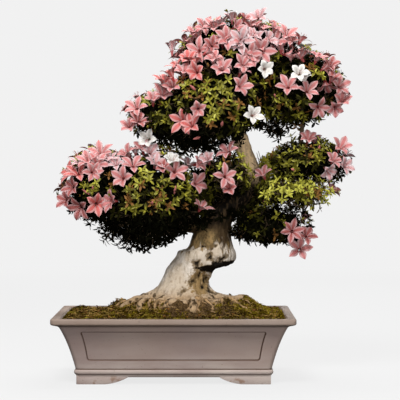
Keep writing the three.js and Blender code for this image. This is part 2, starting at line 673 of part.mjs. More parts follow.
function assemble() {
  const tree = new THREE.Group();
  const base = new THREE.Group();
  base.add(meshOf("pot", potSolid(), COLOURS.pot), meshOf("soil", soilSolid(0), COLOURS.soil));
  tree.add(meshOf("trunk", trunkSolid(), COLOURS.trunk));
  const curves = MASSES.map(boughCurve);
  const balls = limbBalls(curves);
  let wood = solidOf(trunkGeometry(GAP));
  MASSES.forEach((mass, i) => {
    const bough = wholeBody(solidOf(boughGeometry(curves[i], mass, 0)).subtract(wood));
    wood = wood.add(solidOf(boughGeometry(curves[i], mass, GAP)));
    tree.add(meshOf(`${mass.name}_bough`, bough, COLOURS.bough));
  });
  MASSES.forEach((mass, i) => {
    tree.add(meshOf(mass.name, massSolid(mass, i, curves[i], balls, wood), COLOURS.foliage));
  });
  const part = new THREE.Group();
  part.add(base, tree);
  const box = new THREE.Box3().setFromObject(part);
  const middle = box.getCenter(new THREE.Vector3());
  part.position.set(-middle.x, -middle.y, -box.min.z);
  return part;
}

export default assemble();
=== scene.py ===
"""Azalea bonsai in its pot: the looks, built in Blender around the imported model.

Sizes are millimetres in the source's working datum, the pot's centre on the standing plane, seen along +Y.
They become row metres when a mesh is finished.
"""
import logging
import math
from dataclasses import dataclass, field
from enum import Enum
from typing import Callable, Iterable, Mapping, Sequence

import bmesh
import bpy
import numpy as np
from bmesh.types import BMEdge, BMesh, BMFace, BMVert
from bpy.types import Material, Mesh
from mathutils import Matrix, Vector, noise


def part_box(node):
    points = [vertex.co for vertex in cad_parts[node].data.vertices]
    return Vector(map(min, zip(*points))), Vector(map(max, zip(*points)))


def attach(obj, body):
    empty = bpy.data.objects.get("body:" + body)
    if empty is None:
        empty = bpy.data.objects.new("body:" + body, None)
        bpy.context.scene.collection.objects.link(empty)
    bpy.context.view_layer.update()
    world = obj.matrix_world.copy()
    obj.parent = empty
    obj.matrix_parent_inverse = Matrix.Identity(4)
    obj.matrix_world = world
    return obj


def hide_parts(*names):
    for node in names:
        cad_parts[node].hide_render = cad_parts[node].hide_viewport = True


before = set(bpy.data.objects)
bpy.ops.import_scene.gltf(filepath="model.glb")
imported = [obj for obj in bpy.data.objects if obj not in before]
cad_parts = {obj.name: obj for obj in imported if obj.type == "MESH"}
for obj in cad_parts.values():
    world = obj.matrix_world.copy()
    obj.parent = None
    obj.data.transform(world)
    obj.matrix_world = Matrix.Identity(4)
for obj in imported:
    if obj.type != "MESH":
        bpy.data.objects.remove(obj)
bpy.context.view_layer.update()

Array = np.ndarray
Colour = tuple[float, float, float]
Point = tuple[float, float, float]
Pair = tuple[float, float]
Oval = tuple[float, float, float, float]

log = logging.getLogger("bonsai")
MM = 0.001
BODY = "root"
CIRCLE = 2 * math.pi
GOLDEN = math.pi * (3 - math.sqrt(5))
UP = np.array([0.0, 0.0, 1.0])
ASIDE = np.array([1.0, 0.0, 0.0])
CORNERS = ((1, 1), (-1, 1), (-1, -1), (1, -1))
NOISE_SHIFT = (17.3, -9.1, 5.7)
TURN_JITTER = 0.6


class Slot(Enum):
    """The record's material slots."""

    CLAY = "pot_clay"
    SOIL = "mossy_soil"
    BARK = "bark"
    FOLIAGE = "foliage"


def lerp(first: float, last: float, share: float) -> float:
    """Returns the number a share of the way from the first to the last."""
    return first + (last - first) * share


def smooth_step(values: Array | float, low: float, high: float) -> Array:
    """Returns 0 below low, 1 above high and a smooth rise between them."""
    share = np.clip((np.asarray(values, float) - low) / (high - low), 0, 1)
    return share * share * (3 - 2 * share)


def unit(vectors: Array) -> Array:
    """Returns the vectors at length one."""
    return vectors / np.maximum(np.linalg.norm(vectors, axis=-1, keepdims=True), 1e-9)


def clear_of_way(ways: Array, steep: float) -> Array:
    """Returns a vector well away from each way: up, or aside where the way is steep."""
    return np.where(np.abs(ways[..., 2:]) < steep, UP, ASIDE)


def swing(first: Array, second: Array, angle: Array) -> Array:
    """Returns vectors turned by an angle from the first way toward the second."""
    return np.cos(angle)[..., None] * first + np.sin(angle)[..., None] * second


def lumps(points: Array, across: float, seed: float = 0.0) -> Array:
    """Returns smooth noise from about -1 to 1 at places, its lumps so many millimetres across."""
    shift = Vector([seed * step for step in NOISE_SHIFT])
    return np.array([noise.noise(Vector(p) / across + shift) for p in points.tolist()])


def only(parts: Iterable, kind: type) -> list:
    """Returns those parts of a bmesh that are of one kind."""
    return [part for part in parts if isinstance(part, kind)]


def read_points(mesh: Mesh, name: str = "co") -> Array:
    """Returns the places of a mesh's points, or another vector of theirs by name."""
    values = np.zeros(len(mesh.vertices) * 3)
    mesh.vertices.foreach_get(name, values)
    return values.reshape(-1, 3)


class Seeded:
    """The source's run of numbers from 0 to 1, the same for the same seed."""

    STEP = np.uint64(0x6D2B79F5)
    WORD = np.uint64(0xFFFFFFFF)

    def __init__(self, seed: int) -> None:
        """Starts the run at a seed."""
        self.state = np.uint64(seed)

    def draw(self, *shape: int) -> Array:
        """Draws the next numbers of the run.

        Args:
            shape: shape of the array to fill.

        Returns:
            Numbers from 0 to 1.
        """
        order = np.arange(1, math.prod(shape) + 1, dtype=np.uint64)
        state = (self.state + order * self.STEP) & self.WORD
        self.state = state[-1]
        mixed = ((state ^ (state >> np.uint64(15))) * (state | np.uint64(1))) & self.WORD
        again = ((mixed ^ (mixed >> np.uint64(7))) * (mixed | np.uint64(61))) & self.WORD
        mixed = mixed ^ ((mixed + again) & self.WORD)
        return ((mixed ^ (mixed >> np.uint64(14))) & self.WORD).astype(float).reshape(shape) / 2**32

    def spread(self, *shape: int) -> Array:
        """Returns the next numbers of the run from -1 to 1."""
        return self.draw(*shape) * 2 - 1

    def one(self) -> float:
        """Returns the next number of the run."""
        return float(self.draw(1)[0])

    def sizes(self, span: Pair, *shape: int) -> Array:
        """Returns sizes made of a least one and what the run adds to it."""
        return span[0] + span[1] * self.draw(*shape)


def through(points: Sequence[Point] | Array, count: int) -> Array:
    """Draws a smooth line through points.

    Args:
        points: points of any size that the line passes.
        count: how many points to return.

    Returns:
        Points along the line, evenly shared among its spans.
    """
    knots = np.asarray(points, float)
    ends = np.vstack([2 * knots[0] - knots[1], knots, 2 * knots[-1] - knots[-2]])
    spots = np.linspace(0, len(knots) - 1, count)
    first = np.minimum(spots.astype(int), len(knots) - 2)
    t = (spots - first)[:, None]
    a, b, c, d = (ends[first + i] for i in range(4))
    return 0.5 * (2 * b + (c - a) * t + (2 * a - 5 * b + 4 * c - d) * t**2 + (3 * b - a - 3 * c + d) * t**3)


def even_directions(count: int, run: Seeded) -> Array:
    """Spreads directions over a sphere by the golden angle, each turned a little by the run.

    Args:
        count: how many directions.
        run: numbers that turn them.

    Returns:
        Unit vectors, from the top down.
    """
    up = 1 - 2 * (np.arange(count) + 0.5) / count
    turn = np.arange(count) * GOLDEN + (run.draw(count) - 0.5) * TURN_JITTER
    flat = np.sqrt(1 - up * up)
    return np.stack([flat * np.cos(turn), flat * np.sin(turn), up], 1)


# Shader graphs


def operator(operation: str, reflected: bool = False) -> Callable[["Value", "Value | float"], "Value"]:
    """Makes an arithmetic method for Value.

    Args:
        operation: the Math node's operation.
        reflected: whether the value stands on the right.

    Returns:
        The method.
    """
    def method(self: "Value", other: "Value | float") -> "Value":
        """Returns the result of a Math node on the two values."""
        first, second = (other, self) if reflected else (self, other)
        return self.graph.node("ShaderNodeMath", {"operation": operation}, {0: first, 1: second})

    return method


class Value:
    """A shader socket that takes part in Python expressions."""

    __add__ = operator("ADD")
    __radd__ = operator("ADD", True)
    __sub__ = operator("SUBTRACT")
    __rsub__ = operator("SUBTRACT", True)
    __mul__ = operator("MULTIPLY")
    __rmul__ = operator("MULTIPLY", True)

    def __init__(self, graph: "Graph", socket: bpy.types.NodeSocket) -> None:
        """Wraps a socket of a graph."""
        self.graph = graph
        self.socket = socket


class Graph:
    """The shader graph of a material or of the world."""

    def __init__(self, holder: Material | bpy.types.World) -> None:
        """Starts an empty graph.

        Args:
            holder: the material or world that it belongs to.
        """
        holder.use_nodes = True
        self.holder = holder
        self.tree = holder.node_tree
        self.tree.nodes.clear()

    def node(
        self,
        kind: str,
        settings: Mapping[str, object] | None = None,
        sockets: Mapping[str | int, object] | None = None,
        output: str | int = 0,
    ) -> Value | None:
        """Adds a node.

        Args:
            kind: the node's type.
            settings: its properties, set first.
            sockets: values or links of its input sockets, by name or place.
            output: the output to return, by name or place.

        Returns:
            The output, or none where the node has no outputs.
        """
        made = self.tree.nodes.new(kind)
        for name, value in (settings or {}).items():
            setattr(made, name, value)
        for key, value in (sockets or {}).items():
            socket = made.inputs[key]
            if isinstance(value, Value):
                self.tree.links.new(value.socket, socket)
            elif socket.type == "RGBA":
                socket.default_value = (*value, 1.0)
            else:
                socket.default_value = value
        return Value(self, made.outputs[output]) if len(made.outputs) else None

    def place(self) -> Value:
        """Returns the object coordinates."""
        return self.node("ShaderNodeTexCoord", output="Object")

    def height(self) -> Value:
        """Returns the height above the standing plane in metres."""
        return self.node("ShaderNodeSeparateXYZ", None, {0: self.place()}, "Z")

    def noise(self, across: float, detail: float = 3.0, stretch: Point = (1.0, 1.0, 1.0)) -> Value:
        """Adds a noise pattern on object coordinates.

        Args:
            across: size of a patch in millimetres.
            detail: octaves of finer patches.
            stretch: scale of the pattern's axes; a low number draws it out along that axis.

        Returns:
            The noise, from 0 to 1.
        """
        mapped = self.node("ShaderNodeMapping", None, {"Vector": self.place(), "Scale": stretch})
        sockets = {"Vector": mapped, "Scale": 1 / (across * MM), "Detail": detail}
        return self.node("ShaderNodeTexNoise", None, sockets)

    def attribute(self, name: str) -> Value:
        """Returns a number stored on the piece's points."""
        return self.node("ShaderNodeAttribute", {"attribute_name": name}, output="Fac")

    def rise(self, value: Value, low: float, high: float) -> Value:
        """Returns 0 where the value is below low, 1 above high and a smooth rise between them."""
        sockets = {"Value": value, "From Min": low, "From Max": high}
        return self.node("ShaderNodeMapRange", {"interpolation_type": "SMOOTHSTEP"}, sockets)

    def mix(self, share: Value, first: "Value | Colour", second: "Value | Colour") -> Value:
        """Returns the first colour turned to the second by a share."""
        return self.node("ShaderNodeMix", {"data_type": "RGBA"}, {0: share, 6: first, 7: second}, 2)

    def coats(self, colour: "Value | Colour", *coats: tuple[Value, "Value | Colour"]) -> "Value | Colour":
        """Lays colours over a first one.

        Args:
            colour: the first colour.
            coats: the share and the colour of each coat, in order.

        Returns:
            The finished colour.
        """
        for share, coat in coats:
            colour = self.mix(share, colour, coat)
        return colour

    def bump(self, height: Value, distance: float) -> Value:
        """Returns a normal bent by a relief of a depth in millimetres."""
        sockets = {"Height": height, "Distance": distance * MM, "Strength": 1.0}
        return self.node("ShaderNodeBump", None, sockets)

    def surface(self, sockets: Mapping[str, object]) -> Material:
        """Ends the graph in a Principled shader with these sockets and returns the material."""
        shader = self.node("ShaderNodeBsdfPrincipled", None, sockets)
        self.node("ShaderNodeOutputMaterial", None, {"Surface": shader})
        return self.holder


# Finishes


@dataclass(frozen=True)
class Mottled:
    """A plain colour with soft mottling, for things that are many and small."""

    name: str
    colour: Colour
    shade: float = 0.72
    across: float = 9.0
    roughness: float = 0.55
    specular: float = 0.3
    relief: float = 0.12
    edges: Pair = (0.36, 0.62)
    uneven: float = 0.25

    def material(self) -> Material:
        """Returns the material."""
        graph = Graph(bpy.data.materials.new(self.name))
        patches = graph.noise(self.across, 2.0)
        dark = tuple(c * self.shade for c in self.colour)
        return graph.surface({
            "Base Color": graph.mix(graph.rise(patches, *self.edges), dark, self.colour),
            "Roughness": self.roughness + (patches - 0.5) * self.uneven,
            "Specular IOR Level": self.specular,
            "Normal": graph.bump(patches, self.relief),
        })


@dataclass(frozen=True)
class FiredClay:
    """Unglazed taupe clay with bloom, fine grain, and dirt with painted shade in its creases and pits; bands
    of height in metres.
    """

    body: Colour = (0.282, 0.207, 0.185)
    warm: Colour = (0.322, 0.239, 0.205)
    worn: Colour = (0.212, 0.150, 0.110)
    bloom: Colour = (0.500, 0.432, 0.388)
    rust: Colour = (0.190, 0.095, 0.045)
    dirt: Colour = (0.075, 0.040, 0.026)
    cloud_size: float = 95.0
    brush_size: float = 26.0
    brush_drawn: Point = (0.25, 0.25, 1.0)
    grain_size: float = 1.6
    pit_size: float = 3.4
    stain_size: float = 21.0
    cloudy: Pair = (0.38, 0.66)
    hazy: Pair = (0.16, 0.84)
    pitted: Pair = (0.70, 0.76)
    stained: Pair = (0.60, 0.70)
    low: Pair = (0.028, 0.064)
    lip: Pair = (0.113, 0.121)
    wet: Pair = (0.008, 0.022)
    relief: float = 0.35

    def material(self) -> Material:
        """Returns the material."""
        graph = Graph(bpy.data.materials.new("fired_clay"))
        height = graph.height()
        clouds = graph.noise(self.cloud_size, 4.0)
        brushed = graph.noise(self.brush_size, 4.0, self.brush_drawn)
        grain = graph.noise(self.grain_size, 2.0)
        pits = graph.rise(graph.noise(self.pit_size, 1.0), *self.pitted)
        haze = graph.rise(brushed, *self.hazy) * (0.24 + (1.0 - graph.rise(height, *self.low)) * 0.52)
        # creases: dirt and painted shade stored in the concave creases and along the panels' sunk borders
        creases = graph.attribute("dirt") * (0.35 + clouds * 0.7)
        stains = graph.rise(graph.noise(self.stain_size, 3.0), *self.stained)
        colour = graph.coats(
            self.body,
            (graph.rise(clouds, *self.cloudy), self.warm),
            (graph.rise(height, *self.lip) * 0.8, self.worn),
            (haze, self.bloom),
            # dirt and painted shade in the creases, then in the pits
            (graph.rise(creases, 0.0, 0.6), self.dirt),
            (pits * 0.3, self.dirt),
            (stains * (1.0 - graph.rise(height, *self.wet)) * 0.7, self.rust),
        )
        return graph.surface({
            "Base Color": colour,
            "Roughness": 0.72 + (brushed - 0.5) * 0.3,
            "Specular IOR Level": 0.3,
            "Normal": graph.bump(grain * 0.5 + brushed * 0.6 - pits * 0.5, self.relief),
        })


@dataclass(frozen=True)
class MossyGround:
    """Damp brown soil overgrown with olive moss."""

    soil: Colour = (0.050, 0.030, 0.014)
    crumb: Colour = (0.135, 0.080, 0.032)
    moss: Colour = (0.098, 0.070, 0.008)
    bright: Colour = (0.215, 0.165, 0.018)
    patch_size: float = 46.0
    tuft_size: float = 5.0
    crumb_size: float = 3.0
    crumbly: Pair = (0.46, 0.64)
    sunny: Pair = (0.48, 0.68)
    covered: Pair = (0.40, 0.56)
    bared: float = 0.45
    relief: float = 2.4

    def material(self) -> Material:
        """Returns the material."""
        graph = Graph(bpy.data.materials.new("mossy_ground"))
        patches = graph.noise(self.patch_size, 4.0)
        tufts = graph.noise(self.tuft_size, 3.0)
        crumbs = graph.noise(self.crumb_size, 2.0)
        earth = graph.mix(graph.rise(crumbs, *self.crumbly), self.soil, self.crumb)
        green = graph.mix(graph.rise(tufts, *self.sunny), self.moss, self.bright)
        growth = patches + (tufts - 0.5) * 0.5 - graph.attribute("bare") * self.bared
        return graph.surface({
            "Base Color": graph.mix(graph.rise(growth, *self.covered), earth, green),
            "Roughness": 0.88 + (crumbs - 0.5) * 0.2,
            "Specular IOR Level": 0.0,
            "Normal": graph.bump(tufts + crumbs * 0.6, self.relief),
        })


@dataclass(frozen=True)
class OldBark:
    """Pale worn bark, stained, with soil in its hollows; the upper trunk brown and then near black with
    painted shade under the foliage, and a painted sunlit band below the crown; bands of height in metres.
    """

    pale: Colour = (0.490, 0.405, 0.310)
    white: Colour = (0.640, 0.575, 0.500)
    tan: Colour = (0.430, 0.305, 0.190)
    sunlit: Colour = (0.740, 0.530, 0.300)
    root: Colour = (0.372, 0.248, 0.136)
    ochre: Colour = (0.250, 0.160, 0.066)
    olive: Colour = (0.110, 0.075, 0.032)
    brown: Colour = (0.045, 0.027, 0.012)
    stain: Colour = (0.140, 0.090, 0.038)
    # dark and dim: painted shade, on the upper trunk and in the deepest hollows
    dark: Colour = (0.005, 0.003, 0.0015)
    dim: Colour = (0.062, 0.038, 0.018)
    soil: Colour = (0.050, 0.030, 0.013)
    blot_size: float = 42.0
    grain_size: float = 8.0
    grain_drawn: Point = (1.0, 1.0, 0.16)
    speck_size: float = 4.5
    crust_size: float = 15.0
    soiled: Pair = (0.164, 0.186)
    foot: Pair = (0.158, 0.190)
    shoulder: Pair = (0.258, 0.274)
    shade: Pair = (0.292, 0.326)
    sunny: Pair = (0.385, 0.425)
    hidden: Pair = (0.485, 0.520)
    relief: float = 2.6

    def material(self) -> Material:
        """Returns the material."""
        graph = Graph(bpy.data.materials.new("old_bark"))
        height = graph.height()
        blots = graph.noise(self.blot_size, 5.0)
        grain = graph.noise(self.grain_size, 5.0, self.grain_drawn)
        specks = graph.noise(self.speck_size, 4.0)
        patchy, fibrous, speckled = blots - 0.5, grain - 0.5, specks - 0.5
        rust = graph.attribute("rust") + speckled * 1.6
        streaks = graph.mix(graph.rise(grain + speckled * 0.5, 0.42, 0.62), self.olive, self.ochre)
        # the neck: brown-olive bark of the upper trunk, partly its own colour and partly painted shade under
        # the foliage
        neck = graph.mix(graph.rise(blots, 0.42, 0.60), self.brown, streaks)
        # painted shade: near-black bark where the foliage shades the upper trunk
        upper_shade = graph.mix(graph.rise(grain, 0.46, 0.66), self.dark, self.dim)
        # painted sunlight: a pale band where the trunk shows in the gap below the crown
        upper = graph.mix(graph.rise(grain + speckled * 0.5, 0.36, 0.60), self.tan, self.sunlit)
        sun = graph.rise(height + patchy * 0.05, *self.sunny) - graph.rise(height, *self.hidden)
        hollow = graph.attribute("hollow") + speckled * 0.9 + fibrous * 0.4
        crust = graph.rise(graph.noise(self.crust_size, 4.0), 0.52, 0.62)
        colour = graph.coats(
            self.pale,
            (graph.rise(blots, 0.44, 0.66), self.white),
            ((1.0 - graph.rise(height, *self.foot)) * 0.95, self.root),
            (graph.rise(rust, 0.35, 0.9), self.ochre),
            (graph.rise(grain, 0.50, 0.66) * 0.36, self.stain),
            (graph.rise(specks, 0.54, 0.70) * 0.32, self.stain),
            (graph.rise(height + patchy * 0.05 + fibrous * 0.09, *self.shoulder), neck),
            (graph.rise(height + fibrous * 0.06, *self.shade), upper_shade),
            (sun, upper),
            # hollows: brown stains, then painted shade, near black in the deepest hollows, the crevices and
            # under the burl
            (graph.rise(hollow, 0.20, 0.62) * 0.85, self.stain),
            (graph.rise(hollow, 0.62, 1.05), self.dark),
            (crust * (1.0 - graph.rise(height, *self.soiled)), self.soil),
        )
        return graph.surface({
            "Base Color": colour,
            "Roughness": 0.78 + speckled * 0.3,
            "Specular IOR Level": 0.12,
            "Normal": graph.bump(grain * 0.9 + specks * 0.8, self.relief),
        })


# Meshes


@dataclass(frozen=True)
class Shape:
    """Points in millimetres and the triangles between them."""

    points: Array
    faces: Array

    @staticmethod
    def join(shapes: Iterable["Shape"]) -> "Shape":
        """Joins shapes.

        Args:
            shapes: shapes, of which some may be empty.

        Returns:
            All of them as one.
        """
        kept = [shape for shape in shapes if len(shape.faces)]
        starts = np.cumsum([0] + [len(shape.points) for shape in kept])
        faces = [shape.faces + start for shape, start in zip(kept, starts)]
        return Shape(np.concatenate([shape.points for shape in kept]), np.concatenate(faces))

    @staticmethod
    def copies(points: Array, template: Array) -> "Shape":
        """Returns as one shape the copies of a small mesh, from the points of each and one's faces."""
        starts = np.arange(len(points))[:, None, None] * points.shape[1]
        return Shape(points.reshape(-1, 3), (template[None] + starts).reshape(-1, 3))


def tubes(lines: Array, radii: Array, sides: int) -> Shape:
    """Joins closed tapering tubes.

    Args:
        lines: the middle lines, as tubes by points by three.
        radii: the radius at each point, as tubes by points.
        sides: sides of each tube.

    Returns:
        All the tubes as one shape.
    """
    count, steps = lines.shape[:2]
    way = unit(np.gradient(lines, axis=1))
    whole = unit(lines[:, -1] - lines[:, 0])
    first = unit(np.cross(way, clear_of_way(whole, 0.8)[:, None, :]))
    second = np.cross(way, first)
    angle = np.arange(sides) / sides * CIRCLE
    ring = swing(first[:, :, None, :], second[:, :, None, :], angle)
    points = lines[:, :, None, :] + radii[:, :, None, None] * ring
    j, s = np.meshgrid(np.arange(steps - 1), np.arange(sides), indexing="ij")
    here, beside = j * sides + s, j * sides + (s + 1) % sides
    above = beside + sides
    walls = [np.stack([here, beside, above], -1), np.stack([here, above, here + sides], -1)]
    fan = np.arange(1, sides - 1)
    last = (steps - 1) * sides
    caps = [np.stack([0 * fan, fan + 1, fan], -1), np.stack([0 * fan, fan, fan + 1], -1) + last]
    template = np.concatenate([part.reshape(-1, 3) for part in walls + caps])
    return Shape.copies(points.reshape(count, -1, 3), template)


def sheets(points: Array) -> Shape:
    """Joins open sheets.

    Args:
        points: their points, as sheets by rows by columns by three.

    Returns:
        All the sheets as one shape.
    """
    count, rows, columns = points.shape[:3]
    j, i = np.meshgrid(np.arange(rows - 1), np.arange(columns - 1), indexing="ij")
    a = j * columns + i
    halves = [np.stack([a, a + columns + 1, a + 1], -1), np.stack([a, a + columns, a + columns + 1], -1)]
    template = np.concatenate([half.reshape(-1, 3) for half in halves])
    return Shape.copies(points.reshape(count, -1, 3), template)


def blades(
    rows: Sequence[Pair], roots: Array, along: Array, facing: Array, length: Array, wide: Array, fold: float,
    curl: Array,
) -> Shape:
    """Joins thin pointed blades, each folded along its middle and curled.

    Args:
        rows: the outline, as shares of the length and of the half width, between the two points.
        roots: where the blades start.
        along: the ways they lead.
        facing: the ways their upper sides look.
        length: their lengths.
        wide: their widths.
        fold: how far the edges stand up, as a share of the half width.
        curl: how far each tip bends, as a share of the length.

    Returns:
        All the blades as one shape.
    """
    t = np.array([0.0] + [share for share, _ in rows for _ in range(3)] + [1.0])
    across = np.array([0.0] + [half * side for _, half in rows for side in (1, 0, -1)] + [0.0])
    side = unit(np.cross(facing, along))
    top = np.cross(along, side)
    x = length[:, None] * t
    y = 0.5 * wide[:, None] * across
    z = fold * np.abs(y) + (curl * length)[:, None] * t**2
    points = roots[:, None] + x[..., None] * along[:, None] + y[..., None] * side[:, None]
    points = points + z[..., None] * top[:, None]
    faces = [(0, 2, 1), (0, 3, 2)]
    for a in range(1, 3 * len(rows) - 2, 3):
        faces += [(a, a + 1, a + 4), (a, a + 4, a + 3), (a + 1, a + 2, a + 5), (a + 1, a + 5, a + 4)]
    a = 3 * len(rows) - 2
    faces += [(a, a + 1, a + 3), (a + 1, a + 2, a + 3)]
    return Shape.copies(points, np.array(faces))


class Bench:
    """Turns shapes into pieces of the part, in the row frame."""

    def __init__(self) -> None:
        """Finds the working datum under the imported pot."""
        low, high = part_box("pot")
        self.datum = np.array([(low.x + high.x) / 2, (low.y + high.y) / 2, 0.0])

    def to_row(self, points: Array) -> Array:
        """Returns points of the datum in row metres."""
        return points * MM + self.datum

    def mesh(self, name: str, shape: Shape | BMesh, sharp: float) -> Mesh:
        """Turns a shape into a mesh.

        Args:
            name: the mesh's name.
            shape: a shape, or a bmesh, which is used up; both in the datum.
            sharp: the angle in degrees from which a bmesh's edge stays sharp.

        Returns:
            The mesh, in row metres.
        """
        made = bpy.data.meshes.new(name)
        if isinstance(shape, Shape):
            made.from_pydata(self.to_row(shape.points).tolist(), [], shape.faces.tolist())
            made.shade_smooth()
            return made
        for edge in shape.edges:
            edge.smooth = edge.calc_face_angle(0.0) < math.radians(sharp)
        for face in shape.faces:
            face.smooth = True
        to_row = Matrix.Translation(Vector(self.datum)) @ Matrix.Scale(MM, 4)
        bmesh.ops.transform(shape, matrix=to_row, verts=shape.verts)
        shape.to_mesh(made)
        shape.free()
        return made

    def piece(self, name: str, shape: Shape | BMesh | Mesh, finish: Material, slot: Slot,
              nodes: Sequence[str] = (), sharp: float = 38.0) -> None:
        """Makes a piece of the part.

        Args:
            name: the piece's name.
            shape: its shape or bmesh in the datum, or its mesh in row metres.
            finish: its material.
            slot: the record's slot; not used.
            nodes: the solids that it stands for.
            sharp: the angle in degrees from which a bmesh's edge stays sharp.
        """
        mesh = shape if isinstance(shape, Mesh) else self.mesh(name, shape, sharp)
        mesh.materials.clear()
        mesh.materials.append(finish)
        made = bpy.data.objects.new(name, mesh)
        bpy.context.scene.collection.objects.link(made)
        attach(made, BODY)
        if nodes:
            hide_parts(*nodes)
        log.info("%s: %d faces", name, len(mesh.polygons))


# Pot


@dataclass
class ClayPot:
    """The footed rectangular pot: flared wall, lip, sunk panels, bead moulding and four bracket feet.

    Rows of the section are insets from the lip with heights; mouldings are given as steps from one such row.
    """

    bench: Bench
    width: float = 480.0
    depth: float = 340.0
    height: float = 132.0
    wall: float = 13.0
    floor: float = 14.0
    floor_round: Pair = (4.0, 4.0)
    corner: float = 9.0
    corner_steps: int = 6
    lip_face: float = 9.6
    lip_under: float = 11.0
    lip_top: float = 16.0
    lip_cove: tuple[Pair, ...] = ((14.8, 115.6), (13.6, 116.6), (10.2, 117.8), (6.2, 118.9), (2.8, 120.1))
    lip_lower: tuple[Pair, ...] = ((1.0, -1.2), (0.2, 0.0), (0.0, 1.0))
    lip_upper: tuple[Pair, ...] = ((0.0, -2.0), (0.5, -0.7), (1.6, 0.0))
    lip_inner: tuple[Pair, ...] = ((-2.0, 0.0), (-0.4, -0.5), (0.4, -1.8))
    neck: float = 12.0
    neck_rows: tuple[float, ...] = (108.2, 111.0, 114.2)
    bow: Pair = (31.0, 92.0)
    bow_steps: int = 60
    foot_rows: tuple[float, ...] = (31.6, 34.0, 40.0, 44.8)
    inside_rows: tuple[float, ...] = (118.0, 100.0, 80.0, 60.0, 42.0)
    bead_inset: float = 46.0
    bead_top: float = 31.0
    bead_foot: float = 19.0
    bead_swell: float = 3.0
    bead_ease: float = 1.2
    bead_middle: Pair = (0.2, -0.4)
    bead_rows: int = 7
    bead_lower: tuple[Pair, ...] = ((0.4, -0.6),)
    bead_upper: tuple[Pair, ...] = ((0.5, -0.6),)
    sole: tuple[Pair, ...] = ((6.0, 0.0), (3.4, 0.0), (3.0, 0.4))
    panel_top: float = 107.0
    panel_foot: float = 46.0
    panel_rows: int = 8
    panel_margin: Pair = (27.0, 36.0)
    panel_sink: float = 2.4
    panel_edges: Point = (0.9, 1.6, 1.4)
    panel_round: float = 6.5
    panel_dirt_and_shade: float = 0.42
    foot_height: float = 14.0
    foot_sunk: float = 6.0
    foot_inset: float = 48.0
    foot_thick: float = 22.0
    foot_front: float = 102.0
    foot_side: float = 78.0
    foot_flat: float = 0.56
    foot_bend: Pair = (0.82, 0.2)
    foot_steps: int = 10
    foot_edge: float = 0.9
    drain_radius: float = 17.0
    drain_spacing: float = 190.0
    drain_sides: int = 24
    crease: float = 24.0

    def wall_inset(self, z: float) -> float:
        """Finds the body's outside.

        Args:
            z: the height.

        Returns:
            How far the outside stands in from the lip there.
        """
        share = np.linspace(0, 1, self.bow_steps)
        top, foot = (self.neck, self.height - self.lip_under), (self.bead_inset, self.bead_top)
        weights = np.stack([(1 - share) ** 2, 2 * share * (1 - share), share**2], 1)
        rows = weights @ np.array([top, self.bow, foot])
        return float(np.interp(z, rows[::-1, 1], rows[::-1, 0]))

    @staticmethod
    def moulding(inset: float, z: float, steps: Sequence[Pair]) -> list[Pair]:
        """Returns the rows of a moulding that is given as steps from one row."""
        return [(inset + aside, z + up) for aside, up in steps]

    def bead(self) -> list[Pair]:
        """Returns the rows of the bead moulding with the quirks below and above it."""
        inset = self.bead_inset
        aside, up = self.bead_middle
        middle = (self.bead_top + self.bead_foot) / 2
        tall = (self.bead_top - self.bead_foot) / 2 - self.bead_ease
        rows = self.moulding(inset, self.bead_foot, self.bead_lower)
        for turn in np.linspace(-0.5, 0.5, self.bead_rows) * math.pi:
            swell, high = self.bead_swell * math.cos(turn), tall * math.sin(turn)
            rows.append((inset + aside - swell, middle + up + high))
        return rows + self.moulding(inset, self.bead_top, self.bead_upper)

    def profile(self) -> list[Pair]:
        """Returns the section from the underside over the lip down to the floor, as insets and heights."""
        rim, foot = self.height, self.foot_height
        ground = foot + self.floor
        panel = np.linspace(self.panel_foot, self.panel_top, self.panel_rows)
        rows = self.moulding(self.bead_inset, foot, self.sole) + self.bead()
        rows += [(self.wall_inset(z), z) for z in (*self.foot_rows, *panel, *self.neck_rows)]
        rows += self.lip_cove
        rows += self.moulding(0.0, rim - self.lip_face, self.lip_lower)
        rows += self.moulding(0.0, rim, self.lip_upper) + self.moulding(self.lip_top, rim, self.lip_inner)
        inside = (*self.inside_rows, ground + self.floor_round[1])
        rows += [(self.wall_inset(z) + self.wall, z) for z in inside]
        return rows + [(self.bead_inset + self.wall + self.floor_round[0], ground)]

    def margin(self, z: float) -> float:
        """Returns how far the panels' ends stand in from the wall's corners at a height."""
        return float(np.interp(z, (self.panel_foot, self.panel_top), self.panel_margin))

    def outline(self, inset: float) -> list[Pair]:
        """Draws the pot's rounded rectangle.

        Args:
            inset: how far it stands in from the lip.

        Returns:
            Its points counter-clockwise, with one at each end of the panels.
        """
        radius = self.corner
        x, y = self.width / 2 - inset - radius, self.depth / 2 - inset - radius
        edge = self.margin(0.0) - radius
        ends = [(x + radius, y - edge), (x - edge, y + radius)]
        spots = []
        for quarter, (sx, sy) in enumerate(CORNERS):
            first, last = ends if quarter % 2 == 0 else ends[::-1]
            spots.append((sx * first[0], sy * first[1]))
            for step in range(self.corner_steps + 1):
                turn = (quarter + step / self.corner_steps) * math.pi / 2
                spots.append((sx * x + radius * math.cos(turn), sy * y + radius * math.sin(turn)))
            spots.append((sx * last[0], sy * last[1]))
        return spots

